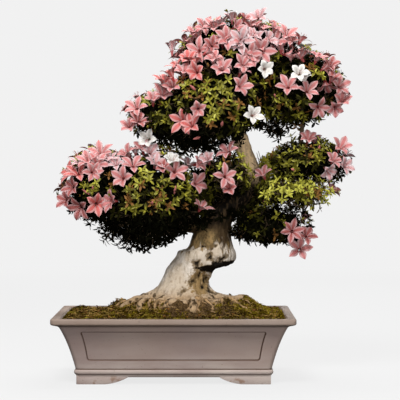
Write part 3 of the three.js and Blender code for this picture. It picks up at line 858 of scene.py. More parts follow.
    def body(self, bm: BMesh) -> None:
        """Draws the body: one outline carried up, over the lip and down inside, then the panels sunk in,
        their sunk borders marked for dirt and painted shade.

        Args:
            bm: the bmesh that takes it.
        """
        layer = bm.verts.layers.float.new("dirt")
        rows = self.profile()
        inset, z = rows[0]
        ring = [bm.verts.new((x, y, z)) for x, y in self.outline(inset)]
        edges = [bm.edges.new(pair) for pair in zip(ring, ring[1:] + ring[:1])]
        below = self.close_around_drains(bm, edges, z)
        for next_inset, next_z in rows[1:]:
            grown = bmesh.ops.extrude_edge_only(bm, edges=edges)["geom"]
            edges = only(grown, BMEdge)
            inward, aside = next_inset - inset, self.margin(next_z) - self.margin(z)
            for vert in only(grown, BMVert):
                for axis, size in enumerate((self.width, self.depth)):
                    from_corner = size / 2 - inset - self.corner - abs(vert.co[axis])
                    move = inward + (aside if from_corner > 1 else 0.0)
                    vert.co[axis] -= move * math.copysign(1, vert.co[axis])
                vert.co.z = next_z
            inset, z = next_inset, next_z
        for low, high in zip(below, self.close_around_drains(bm, edges, z)):
            bmesh.ops.bridge_loops(bm, edges=low + high)
        bmesh.ops.recalc_face_normals(bm, faces=bm.faces)
        panels = self.round_panels([face for face in bm.faces if self.in_panel(face)])
        rings = []
        for wide, deep in zip(self.panel_edges, (0.0, -self.panel_sink, 0.0)):
            made = bmesh.ops.inset_region(bm, faces=panels, thickness=wide, depth=deep, use_even_offset=True)
            rings.append(made["faces"])
        # dirt and painted shade on the panels' sunk borders: full along the top, where the lip's shadow
        # falls, fainter at the sides and foot
        for vert in {vert for face in rings[1] for vert in face.verts}:
            vert[layer] = 1.0 if vert.co.z > self.panel_top - self.panel_round else self.panel_dirt_and_shade

    def round_panels(self, panels: list[BMFace]) -> list[BMFace]:
        """Cuts the corners of the panels off in arcs.

        Args:
            panels: the panels' faces.

        Returns:
            The panels' faces without their corners.
        """
        kept = list(panels)
        for face in panels:
            for level in (self.panel_foot, self.panel_top):
                for corner in [vert for vert in face.verts if abs(vert.co.z - level) < 0.01]:
                    kept[kept.index(face)] = face = self.cut_corner(face, corner)
        return kept

    def cut_corner(self, face: BMFace, corner: BMVert) -> BMFace:
        """Cuts one corner of a panel off in an arc.

        Args:
            face: the panel's face.
            corner: its corner.

        Returns:
            The rest of the face.
        """
        middle = corner.co.copy()
        ends = []
        for edge in [edge for edge in corner.link_edges if face in edge.link_faces]:
            ends.append(bmesh.utils.edge_split(edge, corner, self.panel_round / edge.calc_length())[1])
        arms = [end.co - middle for end in ends]
        turns = [step / self.corner_steps * math.pi / 2 for step in range(1, self.corner_steps)]
        arc = [middle + arms[0] * (1 - math.sin(turn)) + arms[1] * (1 - math.cos(turn)) for turn in turns]
        made, _ = bmesh.utils.face_split(face, *ends, coords=arc)
        return made if corner in face.verts else face

    def close_around_drains(self, bm: BMesh, edges: list[BMEdge], z: float) -> list[list[BMEdge]]:
        """Fills a level outline around the two drain holes.

        Args:
            bm: the bmesh that takes the faces.
            edges: the outline.
            z: its height.

        Returns:
            The edges of each hole.
        """
        holes = []
        for side in (-1, 1):
            place = Matrix.Translation((side * self.drain_spacing / 2, 0.0, z))
            circle = {"segments": self.drain_sides, "radius": self.drain_radius, "matrix": place}
            ring = bmesh.ops.create_circle(bm, **circle)["verts"]
            holes.append(list({edge for vert in ring for edge in vert.link_edges}))
        bmesh.ops.triangle_fill(bm, edges=edges + holes[0] + holes[1], use_beauty=True)
        return holes

    def in_panel(self, face: BMFace) -> bool:
        """Tests whether a face of the wall belongs to one of the four panels.

        Args:
            face: the face.

        Returns:
            True for a face in the middle of an outer wall, between the panels' foot and top.
        """
        middle = face.calc_center_median()
        outside = middle.x * face.normal.x + middle.y * face.normal.y > 0
        central = min(abs(middle.x), abs(middle.y)) < 1
        return outside and central and self.panel_foot < middle.z < self.panel_top

    def scoop(self, share: float) -> float:
        """Finds a foot arm's underside.

        Args:
            share: the share of the arm's length.

        Returns:
            How high the underside stands there.
        """
        along = np.linspace(0, 1, 40)
        x = (1 - along) ** 2 * self.foot_flat + 2 * along * (1 - along) * self.foot_bend[0] + along**2
        z = 2 * along * (1 - along) * self.foot_bend[1] + along**2
        return float(np.interp(share, x, z, left=0.0)) * self.foot_height

    def foot(self, bm: BMesh, place: Matrix) -> None:
        """Draws one corner foot: a block with an arm drawn out along each wall to a scooped end.

        Args:
            bm: the bmesh that takes it.
            place: the corner that it goes to.
        """
        thick, top = self.foot_thick, self.foot_height + self.foot_sunk
        verts = bmesh.ops.create_cube(bm, size=1.0)["verts"]
        bmesh.ops.scale(bm, vec=(thick, thick, top), verts=verts)
        bmesh.ops.translate(bm, vec=(thick / 2, thick / 2, top / 2), verts=verts)
        faces = {face for vert in verts for face in vert.link_faces}
        made = set(verts)
        shares = [self.foot_flat, *np.linspace(self.foot_flat, 1, self.foot_steps)[1:]]
        for axis, length in enumerate((self.foot_front, self.foot_side)):
            face = max(faces, key=lambda f: f.calc_center_median()[axis])
            faces.discard(face)
            for share in shares:
                grown = bmesh.ops.extrude_face_region(bm, geom=[face, *face.edges])["geom"]
                face = only(grown, BMFace)[0]
                for vert in face.verts:
                    vert.co[axis] = share * length
                    vert.co.z = top if vert.co.z > top - 1 else self.scoop(share)
                made.update(face.verts)
        bmesh.ops.transform(bm, matrix=place, verts=list(made))

    def feet(self) -> BMesh:
        """Returns the four bracket feet, which turn the pot's corners."""
        bm = bmesh.new()
        x, y = self.width / 2 - self.foot_inset, self.depth / 2 - self.foot_inset
        for sx, sy in CORNERS:
            self.foot(bm, Matrix.Translation((sx * x, sy * y, 0.0)) @ Matrix.Diagonal((-sx, -sy, 1.0, 1.0)))
        bmesh.ops.recalc_face_normals(bm, faces=bm.faces)
        sharp = [edge for edge in bm.edges if edge.calc_face_angle(0.0) > 1.0]
        rounding = {"offset": self.foot_edge, "segments": 2, "profile": 0.5, "affect": "EDGES"}
        bmesh.ops.bevel(bm, geom=sharp, material=-1, **rounding)
        return bm

    def mark_dirt_and_shade_creases(self, bm: BMesh) -> None:
        """Stores on each point whether it lies in a crease, where dirt gathers and shade is painted.

        Args:
            bm: the bmesh.
        """
        bm.normal_update()
        layer = bm.verts.layers.float.get("dirt") or bm.verts.layers.float.new("dirt")
        steep = math.radians(self.crease)
        for edge in bm.edges:
            if edge.is_manifold and not edge.is_convex and edge.calc_face_angle(0.0) > steep:
                for vert in edge.verts:
                    vert[layer] = 1.0

    def build(self) -> None:
        """Builds the pot's pieces."""
        clay = FiredClay().material()
        body = bmesh.new()
        self.body(body)
        feet = self.feet()
        for name, bm, nodes in (("clay_pot", body, ["pot"]), ("pot_feet", feet, [])):
            self.mark_dirt_and_shade_creases(bm)
            self.bench.piece(name, bm, clay, Slot.CLAY, nodes)


# Soil


class Moss(Enum):
    """The tints of the moss."""

    DARK = (0.034, 0.020, 0.004)
    OLIVE = (0.108, 0.067, 0.006)
    BRIGHT = (0.284, 0.212, 0.016)


@dataclass(frozen=True)
class Cushion:
    """A thick cushion of moss."""

    x: float
    y: float
    across: float
    rise: float


@dataclass
class MossBed:
    """The mossed soil: the source's mound with finer lumps, moss tufts, straw and leaf litter on it.

    Ovals are a middle and two half widths; ranges are a least size and what chance adds to it.
    """

    bench: Bench
    pot: ClayPot
    meets: float = 0.27
    ground: float = 152.0
    edge: float = 129.0
    slope: float = 120.0
    bed: Oval = (28.0, 0.0, 92.0, 70.0)
    bed_edge: float = 1.3
    net: Oval = (30.0, -92.0, 68.0, 42.0)
    cushions: tuple[Cushion, ...] = (
        Cushion(132, 12, 44, 13), Cushion(-112, -6, 34, 11), Cushion(74, 78, 60, 12),
        Cushion(-40, 70, 52, 10), Cushion(150, -70, 48, 7), Cushion(-90, -82, 46, 6),
        Cushion(-44, -80, 38, 11), Cushion(4, -90, 38, 13), Cushion(54, -90, 38, 12),
        Cushion(102, -80, 36, 9),
    )
    tussocks: int = 30
    tussock_across: float = 38.0
    tussock_range: Pair = (3.0, 6.0)
    tussock_reach: Pair = (205.0, 134.0)
    tussock_steps: Point = (0.7548777, 0.5698403, 0.6180340)
    clods: tuple[Pair, ...] = ((3.2, 26.0), (2.2, 11.0), (1.0, 5.0))
    clods_fade: Pair = (-2.0, 18.0)
    settled: float = 1.0
    columns: int = 176
    lines: int = 122
    skirt: float = 26.0
    skirt_inset: float = 12.0
    bare: Pair = (0.9, 1.35)
    sparse_range: Pair = (0.55, 0.6)
    tuft_count: int = 11000
    tuft_blades: int = 5
    tuft_inset: float = 3.0
    tuft_across: Point = (2.2, 2.2, 0.2)
    tuft_sunk: float = 0.6
    patch_wide: float = 40.0
    patch_fine: float = 13.0
    patch_drift: float = 520.0
    patch_least: float = -0.28
    moss_steps: Pair = (0.10, 0.62)
    moss_vary: float = 0.55
    blade_range: Pair = (3.2, 3.4)
    blade_width_range: Pair = (1.0, 0.7)
    blade_rows: tuple[Pair, ...] = ((0.5, 1.0),)
    blade_fold: float = 0.3
    blade_curl: float = -0.15
    straw_count: int = 900
    straw_inset: float = 12.0
    straw_range: Pair = (6.0, 13.0)
    straw_thick_range: Pair = (0.35, 0.35)
    straw_bend: Point = (2.5, 2.5, 1.2)
    straw_slope: float = 0.35
    straw_lift: float = 2.4
    straw: Mottled = Mottled("straw", (0.42, 0.265, 0.070), 0.4, 14.0, 0.8, 0.05)
    litter_count: int = 1500
    litter_inset: float = 8.0
    litter_range: Pair = (3.0, 5.0)
    litter_wide: float = 0.75
    litter_rows: tuple[Pair, ...] = ((0.25, 0.9), (0.75, 0.8))
    litter_fold: float = 0.4
    litter_curl: float = -0.2
    litter_lift: float = 1.6
    litter: Mottled = Mottled("leaf_litter", (0.19, 0.084, 0.022), 0.4, 6.0, 0.8, 0.05)

    def half_sizes(self) -> Pair:
        """Returns the half width and half depth of the soil where it meets the pot's wall."""
        inset = lerp(self.pot.lip_top, self.pot.neck + self.pot.wall, self.meets)
        return self.pot.width / 2 - inset, self.pot.depth / 2 - inset

    @staticmethod
    def from_oval(spots: Array, oval: Oval) -> Array:
        """Returns how far places lie from the middle of an oval: 1 on its outline."""
        x, y, wide, deep = oval
        return np.hypot((spots[:, 0] - x) / wide, (spots[:, 1] - y) / deep)

    def from_roots(self, spots: Array) -> Array:
        """Returns how far places lie from the trunk's bed and the net of roots: 1 on their outlines."""
        return np.minimum(self.from_oval(spots, self.bed), self.from_oval(spots, self.net))

    def all_cushions(self) -> list[Cushion]:
        """Returns the cushions and the low tussocks that the source scatters between them."""
        made = list(self.cushions)
        for i in range(self.tussocks):
            shares = [(0.5 + i * step) % 1 for step in self.tussock_steps[:2]]
            x, y = ((share * 2 - 1) * reach for share, reach in zip(shares, self.tussock_reach))
            rise = self.tussock_range[0] + self.tussock_range[1] * (i * self.tussock_steps[2] % 1)
            made.append(Cushion(x, y, self.tussock_across, rise))
        return made

    def mound(self, spots: Array) -> Array:
        """Finds the source's height of the soil.

        Args:
            spots: places, as x and y.

        Returns:
            The height at each.
        """
        out = self.from_oval(spots, self.bed)
        away = (out - 1) * (self.bed[2] + self.bed[3]) / 2
        mound = self.ground + (self.edge - self.ground) * smooth_step(away, 0, self.slope)
        moss = sum(c.rise * (1 - smooth_step(np.hypot(spots[:, 0] - c.x, spots[:, 1] - c.y), 0, c.across))
                   for c in self.all_cushions())
        return mound + moss * smooth_step(out, 1, self.bed_edge)

    def surface(self, spots: Array) -> Array:
        """Finds the height of the dressed soil, with its clods.

        Args:
            spots: places, as x and y.

        Returns:
            The height at each.
        """
        half_wide, half_deep = self.half_sizes()
        inner = np.minimum(half_wide - np.abs(spots[:, 0]), half_deep - np.abs(spots[:, 1]))
        flat = np.column_stack([spots[:, :2], np.zeros(len(spots))])
        relief = sum(rise * lumps(flat, across, seed) for seed, (rise, across) in enumerate(self.clods, 1))
        return self.mound(spots) + relief * smooth_step(inner, *self.clods_fade) - self.settled

    def ground_mesh(self) -> None:
        """Builds the soil's body."""
        half_wide, half_deep = self.half_sizes()
        bm = bmesh.new()
        bmesh.ops.create_grid(bm, x_segments=self.columns, y_segments=self.lines, size=1.0)
        bmesh.ops.scale(bm, vec=(half_wide, half_deep, 1.0), verts=bm.verts)
        spots = np.array([vert.co for vert in bm.verts])
        layer = bm.verts.layers.float.new("bare")
        for vert, z, out in zip(bm.verts, self.surface(spots), self.from_roots(spots)):
            vert.co.z = z
            vert[layer] = 1 - float(smooth_step(out, *self.bare))
        rim = [edge for edge in bm.edges if edge.is_boundary]
        grown = bmesh.ops.extrude_edge_only(bm, edges=rim)["geom"]
        for vert in only(grown, BMVert):
            vert.co.x *= 1 - self.skirt_inset / half_wide
            vert.co.y *= 1 - self.skirt_inset / half_deep
            vert.co.z = self.edge - self.skirt
        bmesh.ops.contextual_create(bm, geom=only(grown, BMEdge))
        bmesh.ops.recalc_face_normals(bm, faces=bm.faces)
        self.bench.piece("mossy_soil", bm, MossyGround().material(), Slot.SOIL, ["soil"], sharp=80.0)

    def scatter(self, run: Seeded, count: int, inset: float) -> Array:
        """Scatters places on the soil outside the trunk's foot, few of them between its roots.

        Args:
            run: numbers that place them.
            count: how many to try.
            inset: how far they keep from the pot's wall.

        Returns:
            The places.
        """
        half_wide, half_deep = self.half_sizes()
        spots = run.spread(count, 2) * (half_wide - inset, half_deep - inset)
        least, more = self.sparse_range
        spots = spots[self.from_roots(spots) > least + more * run.draw(len(spots))]
        return np.column_stack([spots, self.surface(spots)])

    def tufts(self) -> None:
        """Builds the moss: short blades in tufts, dealt out in three tints by patch."""
        run = Seeded(31)
        roots = self.scatter(run, self.tuft_count, self.tuft_inset)
        flat = roots * (1, 1, 0)
        patch = lumps(flat, self.patch_wide, 4) + 0.5 * lumps(flat, self.patch_fine, 5)
        patch = patch + roots[:, 0] / self.patch_drift
        keep = patch + 0.5 * run.spread(len(roots)) > self.patch_least
        roots, patch = np.repeat(roots[keep], self.tuft_blades, 0), patch[keep]
        count = len(roots)
        way = unit(np.concatenate([run.spread(count, 2), 0.5 + run.draw(count, 1)], 1))
        face = unit(run.spread(count, 3) * 0.5 + UP)
        base = roots + run.spread(count, 3) * self.tuft_across - self.tuft_sunk * UP
        length = run.sizes(self.blade_range, count)
        wide = run.sizes(self.blade_width_range, count)
        tone = np.repeat(patch + self.moss_vary * run.spread(len(patch)), self.tuft_blades)
        curl = np.full(count, self.blade_curl)
        for step, tint in enumerate(Moss):
            here = np.digitize(tone, self.moss_steps) == step
            shape = blades(self.blade_rows, base[here], way[here], face[here], length[here], wide[here],
                           self.blade_fold, curl[here])
            finish = Mottled(f"moss_{tint.name.lower()}", tint.value, roughness=0.9, specular=0.0)
            self.bench.piece(finish.name, shape, finish.material(), Slot.SOIL)

    def lay_litter(self) -> None:
        """Builds the straw and the bits of dead leaf that lie on the moss."""
        run = Seeded(47)
        middle = self.scatter(run, self.straw_count, self.straw_inset) + self.straw_lift * UP
        count = len(middle)
        turn = run.draw(count) * CIRCLE
        way = np.stack([np.cos(turn), np.sin(turn), self.straw_slope * run.spread(count)], 1)
        length = self.straw_range[0] + self.straw_range[1] * run.draw(count) ** 2
        bend = run.spread(count, 3) * self.straw_bend
        half = way * length[:, None] / 2
        lines = np.stack([middle - half, middle + bend, middle + half], 1)
        thick = run.sizes(self.straw_thick_range, count)[:, None]
        straw = tubes(lines, np.repeat(thick, 3, 1), 4)
        self.bench.piece("straw", straw, self.straw.material(), Slot.SOIL)
        roots = self.scatter(run, self.litter_count, self.litter_inset) + self.litter_lift * UP
        count = len(roots)
        way = unit(run.spread(count, 3) * (1, 1, 0.5))
        face = unit(run.spread(count, 3) * 0.6 + UP)
        size = self.litter_range[0] + self.litter_range[1] * run.draw(count) ** 2
        curl = np.full(count, self.litter_curl)
        wide = size * self.litter_wide
        bits = blades(self.litter_rows, roots, way, face, size, wide, self.litter_fold, curl)
        self.bench.piece("leaf_litter", bits, self.litter.material(), Slot.SOIL)

    def build(self) -> None:
        """Builds the soil and what lies on it."""
        self.ground_mesh()
        self.tufts()
        self.lay_litter()


# Wood


@dataclass(frozen=True)
class Station:
    """A level section of the trunk: its middle and its half widths across and deep."""

    x: float
    y: float
    z: float
    wide: float
    deep: float


@dataclass(frozen=True)
class Root:
    """A surface root: its bearing from the trunk's foot, reach, thickness and rise at the trunk."""

    toward: float
    reach: float
    thick: float
    rise: float


@dataclass(frozen=True)
class Mass:
    """A mass of foliage: its egg-shaped space, where its bough leaves the trunk, and its blooming side."""

    name: str
    at: Point
    radii: Point
    leave: float
    bloom: Point
    edge: float
    thick: float = 10.0
    arch: float = 14.0
    end: float = 0.8
    fullness: float = 1.0
    # a brightening of the mass's leaf tints, for young leaves and painted sunlight
    fresh: float = 0.0
    leaf: float = 1.0
    ragged: float = 8.0
    shade: float = 1.0
    opened: float = 0.0
    # painted shade on the mass's lower part: the share of its height below which its leaves darken, and how
    # fast
    dusk: float = -0.26
    shade_strength: float = 2.4
    back: float = 0.0
    trim: float = 0.0


MASSES = (
    Mass("crown_top", (130, -2, 658), (135, 126, 84), 524, (0, -0.2, 1), -0.05, thick=12, back=6),
    Mass("crown_left", (-10, -8, 535), (95, 102, 65), 500, (-0.7, -0.2, 0.7), 0.1, back=5),
    Mass("crown_right", (252, -4, 591), (104, 104, 87), 508, (0.8, -0.2, 0.5), 0.05, dusk=-0.7, shade_strength=1.6,
         back=6),
    Mass("crown_front", (82, -90, 563), (101, 78, 102), 518, (0, -0.6, 0.8), 0.2, dusk=-0.42),
    Mass("crown_back", (138, 98, 604), (115, 80, 84), 496, (0, 0.6, 0.8), 0.15),
    Mass("left_mass", (-48, -20, 369), (112, 112, 107), 322, (-0.1, -0.2, 1), 0.4, thick=15, dusk=-0.2,
         shade_strength=5),
    Mass("left_tip_mass", (-158, -8, 392), (77, 90, 80), 312, (-0.7, -0.3, 0.7), 0.1, thick=14, arch=-34,
         shade_strength=4),
    Mass("front_mass", (112, -88, 413), (50, 48, 57), 380, (0, -0.7, 0.5), 0.5, fullness=0.5, fresh=0.3,
         leaf=0.9, shade=0),
    Mass("back_mass", (122, 112, 386), (91, 72, 65), 356, (0, 0.5, 0.9), 0.25, thick=12, arch=8),
    Mass("right_mass", (275, 6, 440), (89, 86, 52), 404, (1, -0.2, 0.3), 0.3, thick=12, fresh=-0.25,
         ragged=10, dusk=-0.5),
    Mass("right_spray", (249, -46, 374), (79, 60, 43), 382, (1, 0, 0.2), 0.95, fresh=0.95, leaf=0.9,
         ragged=14, shade=0.2, opened=0.7),
    Mass("right_low_mass", (198, 10, 304), (89, 68, 55), 350, (0.8, -0.3, -0.4), 0.3, arch=18, end=0.5,
         fresh=-0.55, opened=0.25, trim=34),
)


class Spaces:
    """The masses' egg-shaped spaces, each of which keeps to itself."""

    JOIN = 6.5
    REACH = 1.2
    LEAST = 0.9
    HALVINGS = 8

    def __init__(self, masses: Sequence[Mass]) -> None:
        """Stores the eggs."""
        self.masses = masses
        self.hearts = np.array([mass.at for mass in masses], float)
        self.radii = np.array([mass.radii for mass in masses], float)

    def egg(self, index: int) -> tuple[Array, Array]:
        """Returns the heart and the radii of a mass's egg."""
        return self.hearts[index], self.radii[index]

    def find(self, name: str) -> int:
        """Returns the number of a mass."""
        return [mass.name for mass in self.masses].index(name)

    def area(self, index: int) -> float:
        """Returns about the area of a mass's egg."""
        x, y, z = self.radii[index]
        return 4 * math.pi * (x * y + y * z + z * x) / 3

    def shares(self, points: Array) -> Array:
        """Returns, as masses by points, the share of each egg: 0 at its heart and 1 on its skin."""
        return np.linalg.norm((points[None] - self.hearts[:, None]) / self.radii[:, None], axis=2)

    def blend(self, points: Array) -> Array:
        """Returns how far outside all the eggs, softly joined, points lie: 0 on the joint skin."""
        return -np.log(np.exp(-self.JOIN * (self.shares(points) - 1)).sum(0)) / self.JOIN

    def skin(self, index: int, ways: Array) -> Array:
        """Finds the joint skin.

        Args:
            index: the mass from whose heart it is sought.
            ways: the directions.

        Returns:
            The share of the mass's egg at which the joint skin lies in each direction.
        """
        heart, radii = self.egg(index)
        low, high = np.full(len(ways), self.LEAST), np.full(len(ways), self.REACH)
        for _ in range(self.HALVINGS):
            middle = (low + high) / 2
            outside = self.blend(heart + ways * radii * middle[:, None]) > 0
            low, high = np.where(outside, low, middle), np.where(outside, middle, high)
        return low

    def below(self, index: int, ways: Array, depth: Array, skin: Array | float = 1.0) -> Array:
        """Finds places below the skin.

        Args:
            index: the mass.
            ways: the directions from its heart.
            depth: how deep the places lie.
            skin: the share of the egg at which the skin lies.

        Returns:
            The places.
        """
        heart, radii = self.egg(index)
        span = ways * radii
        return heart + span * (skin - depth / np.linalg.norm(span, axis=1))[:, None]

    def own(self, index: int, points: Array, reach: float = REACH, margin: float = 0.0) -> Array:
        """Tests which points lie in a mass's own space.

        Args:
            index: the mass.
            points: places to test.
            reach: the greatest share of its egg.
            margin: by how much it has to be nearer than the next mass.

        Returns:
            True for each point inside.
        """
        shares = self.shares(points)
        mine = shares[index].copy()
        shares[index] = np.inf
        return (mine <= reach) & (shares.min(0) >= mine + margin)


class Grain(Enum):
    """The patterns of the bark's relief: the scale of their axes, their size and their seed."""

    RIDGES = (1.0, 1.0, 0.16), 12.0, 1
    SWELL = (1.0, 1.0, 0.6), 34.0, 2
    FINE = (1.0, 1.0, 0.35), 5.0, 3
    FOLDS = (1.0, 1.0, 1.0), 38.0, 4
    WRINKLES = (0.3, 0.3, 1.0), 8.0, 5
    HOLLOWS = (1.0, 1.0, 1.0), 21.0, 6
    TORN = (1.0, 1.0, 1.0), 7.0, 8

    def read(self, points: Array) -> Array:
        """Returns the pattern at places."""
        scale, across, seed = self.value
        return lumps(points * scale, across, seed)

    def creases(self, points: Array) -> Array:
        """Returns the pattern folded at its middle: 1 on crests, -1 in creases."""
        return 1 - 2 * np.abs(self.read(points))


@dataclass
class Wood:
    """The trunk with its roots and the boughs, fused to one mesh with the bark's relief.

    Bands are heights, shares or slopes from where something starts to where it is full.
    """

    bench: Bench
    soil: MossBed
    spaces: Spaces
    stations: tuple[Station, ...] = (
        Station(27, 0, 146, 76, 61), Station(22, 0, 168, 60, 50), Station(20, 1, 188, 50, 44),
        Station(27, 2, 209, 48, 41), Station(34, 2, 222, 50, 41), Station(55, 3, 231, 63, 43),
        Station(65, 4, 246, 61, 44), Station(66, 4, 257, 58, 43), Station(74, 5, 264, 46, 41),
        Station(77, 6, 294, 37, 36), Station(87, 8, 322, 32, 32), Station(114, 10, 352, 30, 28),
        Station(145, 10, 382, 25, 24), Station(155, 9, 408, 21, 21), Station(152, 6, 436, 18, 18),
        Station(138, 2, 472, 17, 17), Station(130, 0, 500, 16, 16), Station(127, -2, 526, 14, 14),
    )
    trunk_sides: int = 40
    trunk_steps: int = 110
    roots: tuple[Root, ...] = (
        Root(184, 128, 17, 30), Root(4, 112, 14, 22), Root(212, 104, 11, 16), Root(238, 96, 10, 14),
        Root(262, 92, 9, 13), Root(288, 90, 10, 13), Root(318, 98, 11, 15), Root(42, 104, 12, 18),
        Root(88, 88, 12, 18), Root(138, 104, 13, 20),
    )
    root_start: float = 0.42
    root_tip: float = 0.36
    root_wander: float = 12.0
    root_sunk: float = 0.25
    root_fall: float = 1.6
    root_shares: tuple[float, ...] = (0.0, 0.35, 0.7, 1.0)
    root_knobs: Pair = (0.16, 14.0)
    root_steps: int = 30
    root_sides: int = 14
    fork_from: tuple[int, ...] = (5, 10, 15)
    fork_turn: Pair = (24.0, 26.0)
    fork_reach: Pair = (0.38, 0.3)
    fork_waves: Pair = (4.0, 3.0)
    fork_sway: float = 6.0
    fork_thick: float = 0.46
    fork_tip: float = 0.5
    fork_sunk: float = 0.4
    fork_fall: float = 1.4
    fork_steps: int = 16
    fork_sides: int = 10
    bough_tip: float = 0.55
    bough_least: float = 0.4
    bough_back: float = 0.03
    bough_steps: int = 24
    bough_sides: int = 12
    core_margin: float = 0.13
    voxel: float = 2.2
    soften: tuple[float, int] = (0.5, 7)
    flared: Pair = (162.0, 212.0)
    ridged: Pair = (235.0, 290.0)
    behind: Pair = (-10.0, 10.0)
    clear_of_soil: Pair = (160.0, 190.0)
    burl_under: Pair = (205.0, 216.0)
    burl_over: Pair = (240.0, 254.0)
    blots: tuple[tuple[float, ...], ...] = (
        (71, 246, 11, 15, 4), (46, 232, 16, 12, 4), (44, 226, 8, 7, 3), (49, 210, 11, 12, 5),
        (64, 199, 12, 13, 6), (35, 196, 15, 12, 4), (16, 178, 11, 11, 5), (74, 180, 13, 17, 6),
        (96, 240, 12, 12, 3), (106, 248, 9, 14, 2), (98, 235, 27, 9, 4), (60, 268, 22, 5, 2),
        (84, 270, 12, 5, 2), (56, 186, 9, 12, 3), (80, 236, 9, 13, 5),
    )
    rusty: Oval = (52.0, 194.0, 36.0, 42.0)
    deepest: float = 1.2
    flare_top: float = 205.0
    rootlets: int = 52
    rootlet_steps: int = 22
    rootlet_sides: int = 6
    rootlets_ahead: tuple[float, float, int] = (192.0, 312.0, 32)
    rootlets_round: Pair = (-48.0, 192.0)
    rootlet_from: Pair = (0.86, 0.12)
    rootlet_to: Pair = (1.45, 0.75)
    rootlet_wander: Pair = (0.045, 0.05)
    rootlet_fork: Pair = (4.0, 9.0)
    rootlet_away: float = 0.34
    rootlet_more: Pair = (0.25, 0.3)
    rootlet_taper: Pair = (1.15, 0.4)
    rootlet_rise: Pair = (3.4, 1.3)
    rootlet_dive: float = 6.5
    rootlet_bark: Mottled = Mottled("rootlet_bark", (0.372, 0.236, 0.116), 0.34, 12.0, 0.8, 0.1)
    lines: list[Array] = field(default_factory=list)

    def trunk_line(self, count: int) -> Array:
        """Returns sections of the trunk, each as a middle and two half widths."""
        return through([(s.x, s.y, s.z, s.wide, s.deep) for s in self.stations], count)

    def bough_line(self, index: int) -> Array:
        """Draws a bough from the trunk's middle to where it enters its mass's own space.

        Args:
            index: the mass.

        Returns:
            Its line.
        """
        mass = self.spaces.masses[index]
        heart, _ = self.spaces.egg(index)
        trunk = self.trunk_line(400)
        start = [np.interp(mass.leave, trunk[:, 2], trunk[:, axis]) for axis in range(2)]
        start = np.array([*start, mass.leave])
        inward = (start - heart) / self.spaces.shares(start[None])[index, 0]
        end, tip = mass.end, heart + inward * mass.end
        while end > self.bough_least and not self.spaces.own(index, tip[None], 1.0, self.core_margin)[0]:
            end -= self.bough_back
            tip = heart + inward * end
        return through([start, (start + tip) / 2 + UP * mass.arch, tip], self.bough_steps)

    def root_line(self, index: int) -> Array:
        """Draws a surface root, which leaves the flare, wanders and dives into the soil.

        Args:
            index: the root.

        Returns:
            Its line.
        """
        root, foot = self.roots[index], self.stations[0]
        run = Seeded(100 + index)
        angle = math.radians(root.toward)
        knots = []
        for share in self.root_shares:
            out = lerp(self.root_start * foot.wide, root.reach, share)
            aside = (run.one() - 0.5) * 2 * self.root_wander if share else 0.0
            x = foot.x + out * math.cos(angle) - aside * math.sin(angle)
            y = foot.y + out * math.sin(angle) + aside * math.cos(angle)
            rise = root.rise * (1 - share) ** self.root_fall - root.thick * self.root_sunk * share
            knots.append((x, y, float(self.soil.mound(np.array([[x, y]]))[0]) + rise))
        return through(knots, self.root_steps)

    def forks(self, index: int, main: Array) -> list[tuple[Array, Array]]:
        """Draws the side roots of a surface root.

        Args:
            index: the root.
            main: its line.

        Returns:
            A line and its radii for each.
        """
        root = self.roots[index]
        run = Seeded(300 + index)
        share = np.linspace(0, 1, self.fork_steps)
        thick = root.thick * self.fork_thick
        made = []
        for number, step in enumerate(self.fork_from):
            x, y = unit(main[step + 1, :2] - main[step, :2])
            turn = math.radians(run.sizes(self.fork_turn, 1)[0]) * (-1 if number % 2 else 1)
            cos, sin = math.cos(turn), math.sin(turn)
            way = np.array([cos * x - sin * y, sin * x + cos * y])
            side = np.array([-way[1], way[0]])
            far = root.reach * run.sizes(self.fork_reach, 1)[0]
            sway = np.sin(share * run.sizes(self.fork_waves, 1)[0]) * self.fork_sway * share
            spots = main[step, :2] + share[:, None] * way * far + sway[:, None] * side
            ground = self.soil.mound(spots)
            rise = (main[step, 2] - ground[0]) * (1 - share) ** self.fork_fall
            z = ground + rise - thick * self.fork_sunk * share
            radii = thick * np.linspace(1, self.fork_tip, self.fork_steps)
            made.append((np.column_stack([spots, z]), radii))
        return made

    @staticmethod
    def sweep(bm: BMesh, sections: Sequence[Matrix], sides: int) -> None:
        """Carries a circle along sections by extrusion and closes both ends.

        Args:
            bm: the bmesh that takes the tube.
            sections: the place of the unit circle at each step.
            sides: sides of the tube.
        """
        ring = bmesh.ops.create_circle(bm, cap_ends=True, segments=sides, radius=1.0, matrix=sections[0])
        edges = list({edge for vert in ring["verts"] for edge in vert.link_edges})
        for last, section in zip(sections, sections[1:]):
            grown = bmesh.ops.extrude_edge_only(bm, edges=edges)["geom"]
            edges = only(grown, BMEdge)
            bmesh.ops.transform(bm, matrix=section @ last.inverted(), verts=only(grown, BMVert))
        bmesh.ops.contextual_create(bm, geom=edges)

    def sweep_limb(self, bm: BMesh, line: Array, radii: Array, sides: int) -> None:
        """Carries a circle square to a line along it.

        Args:
            bm: the bmesh that takes the tube.
            line: its middle line.
            radii: its radius at each point of the line.
            sides: its sides.
        """
        sections = []
        way = unit(np.gradient(line, axis=0))
        side = unit(np.cross(way[0], clear_of_way(way[0], 0.8)))
        for spot, ahead, radius in zip(line, way, radii):
            side = unit(side - ahead * np.dot(side, ahead))
            columns = (side * radius, np.cross(ahead, side) * radius, ahead, spot)
            sections.append(Matrix([[*(c[axis] for c in columns)] for axis in range(3)] + [[0, 0, 0, 1]]))
        self.sweep(bm, sections, sides)

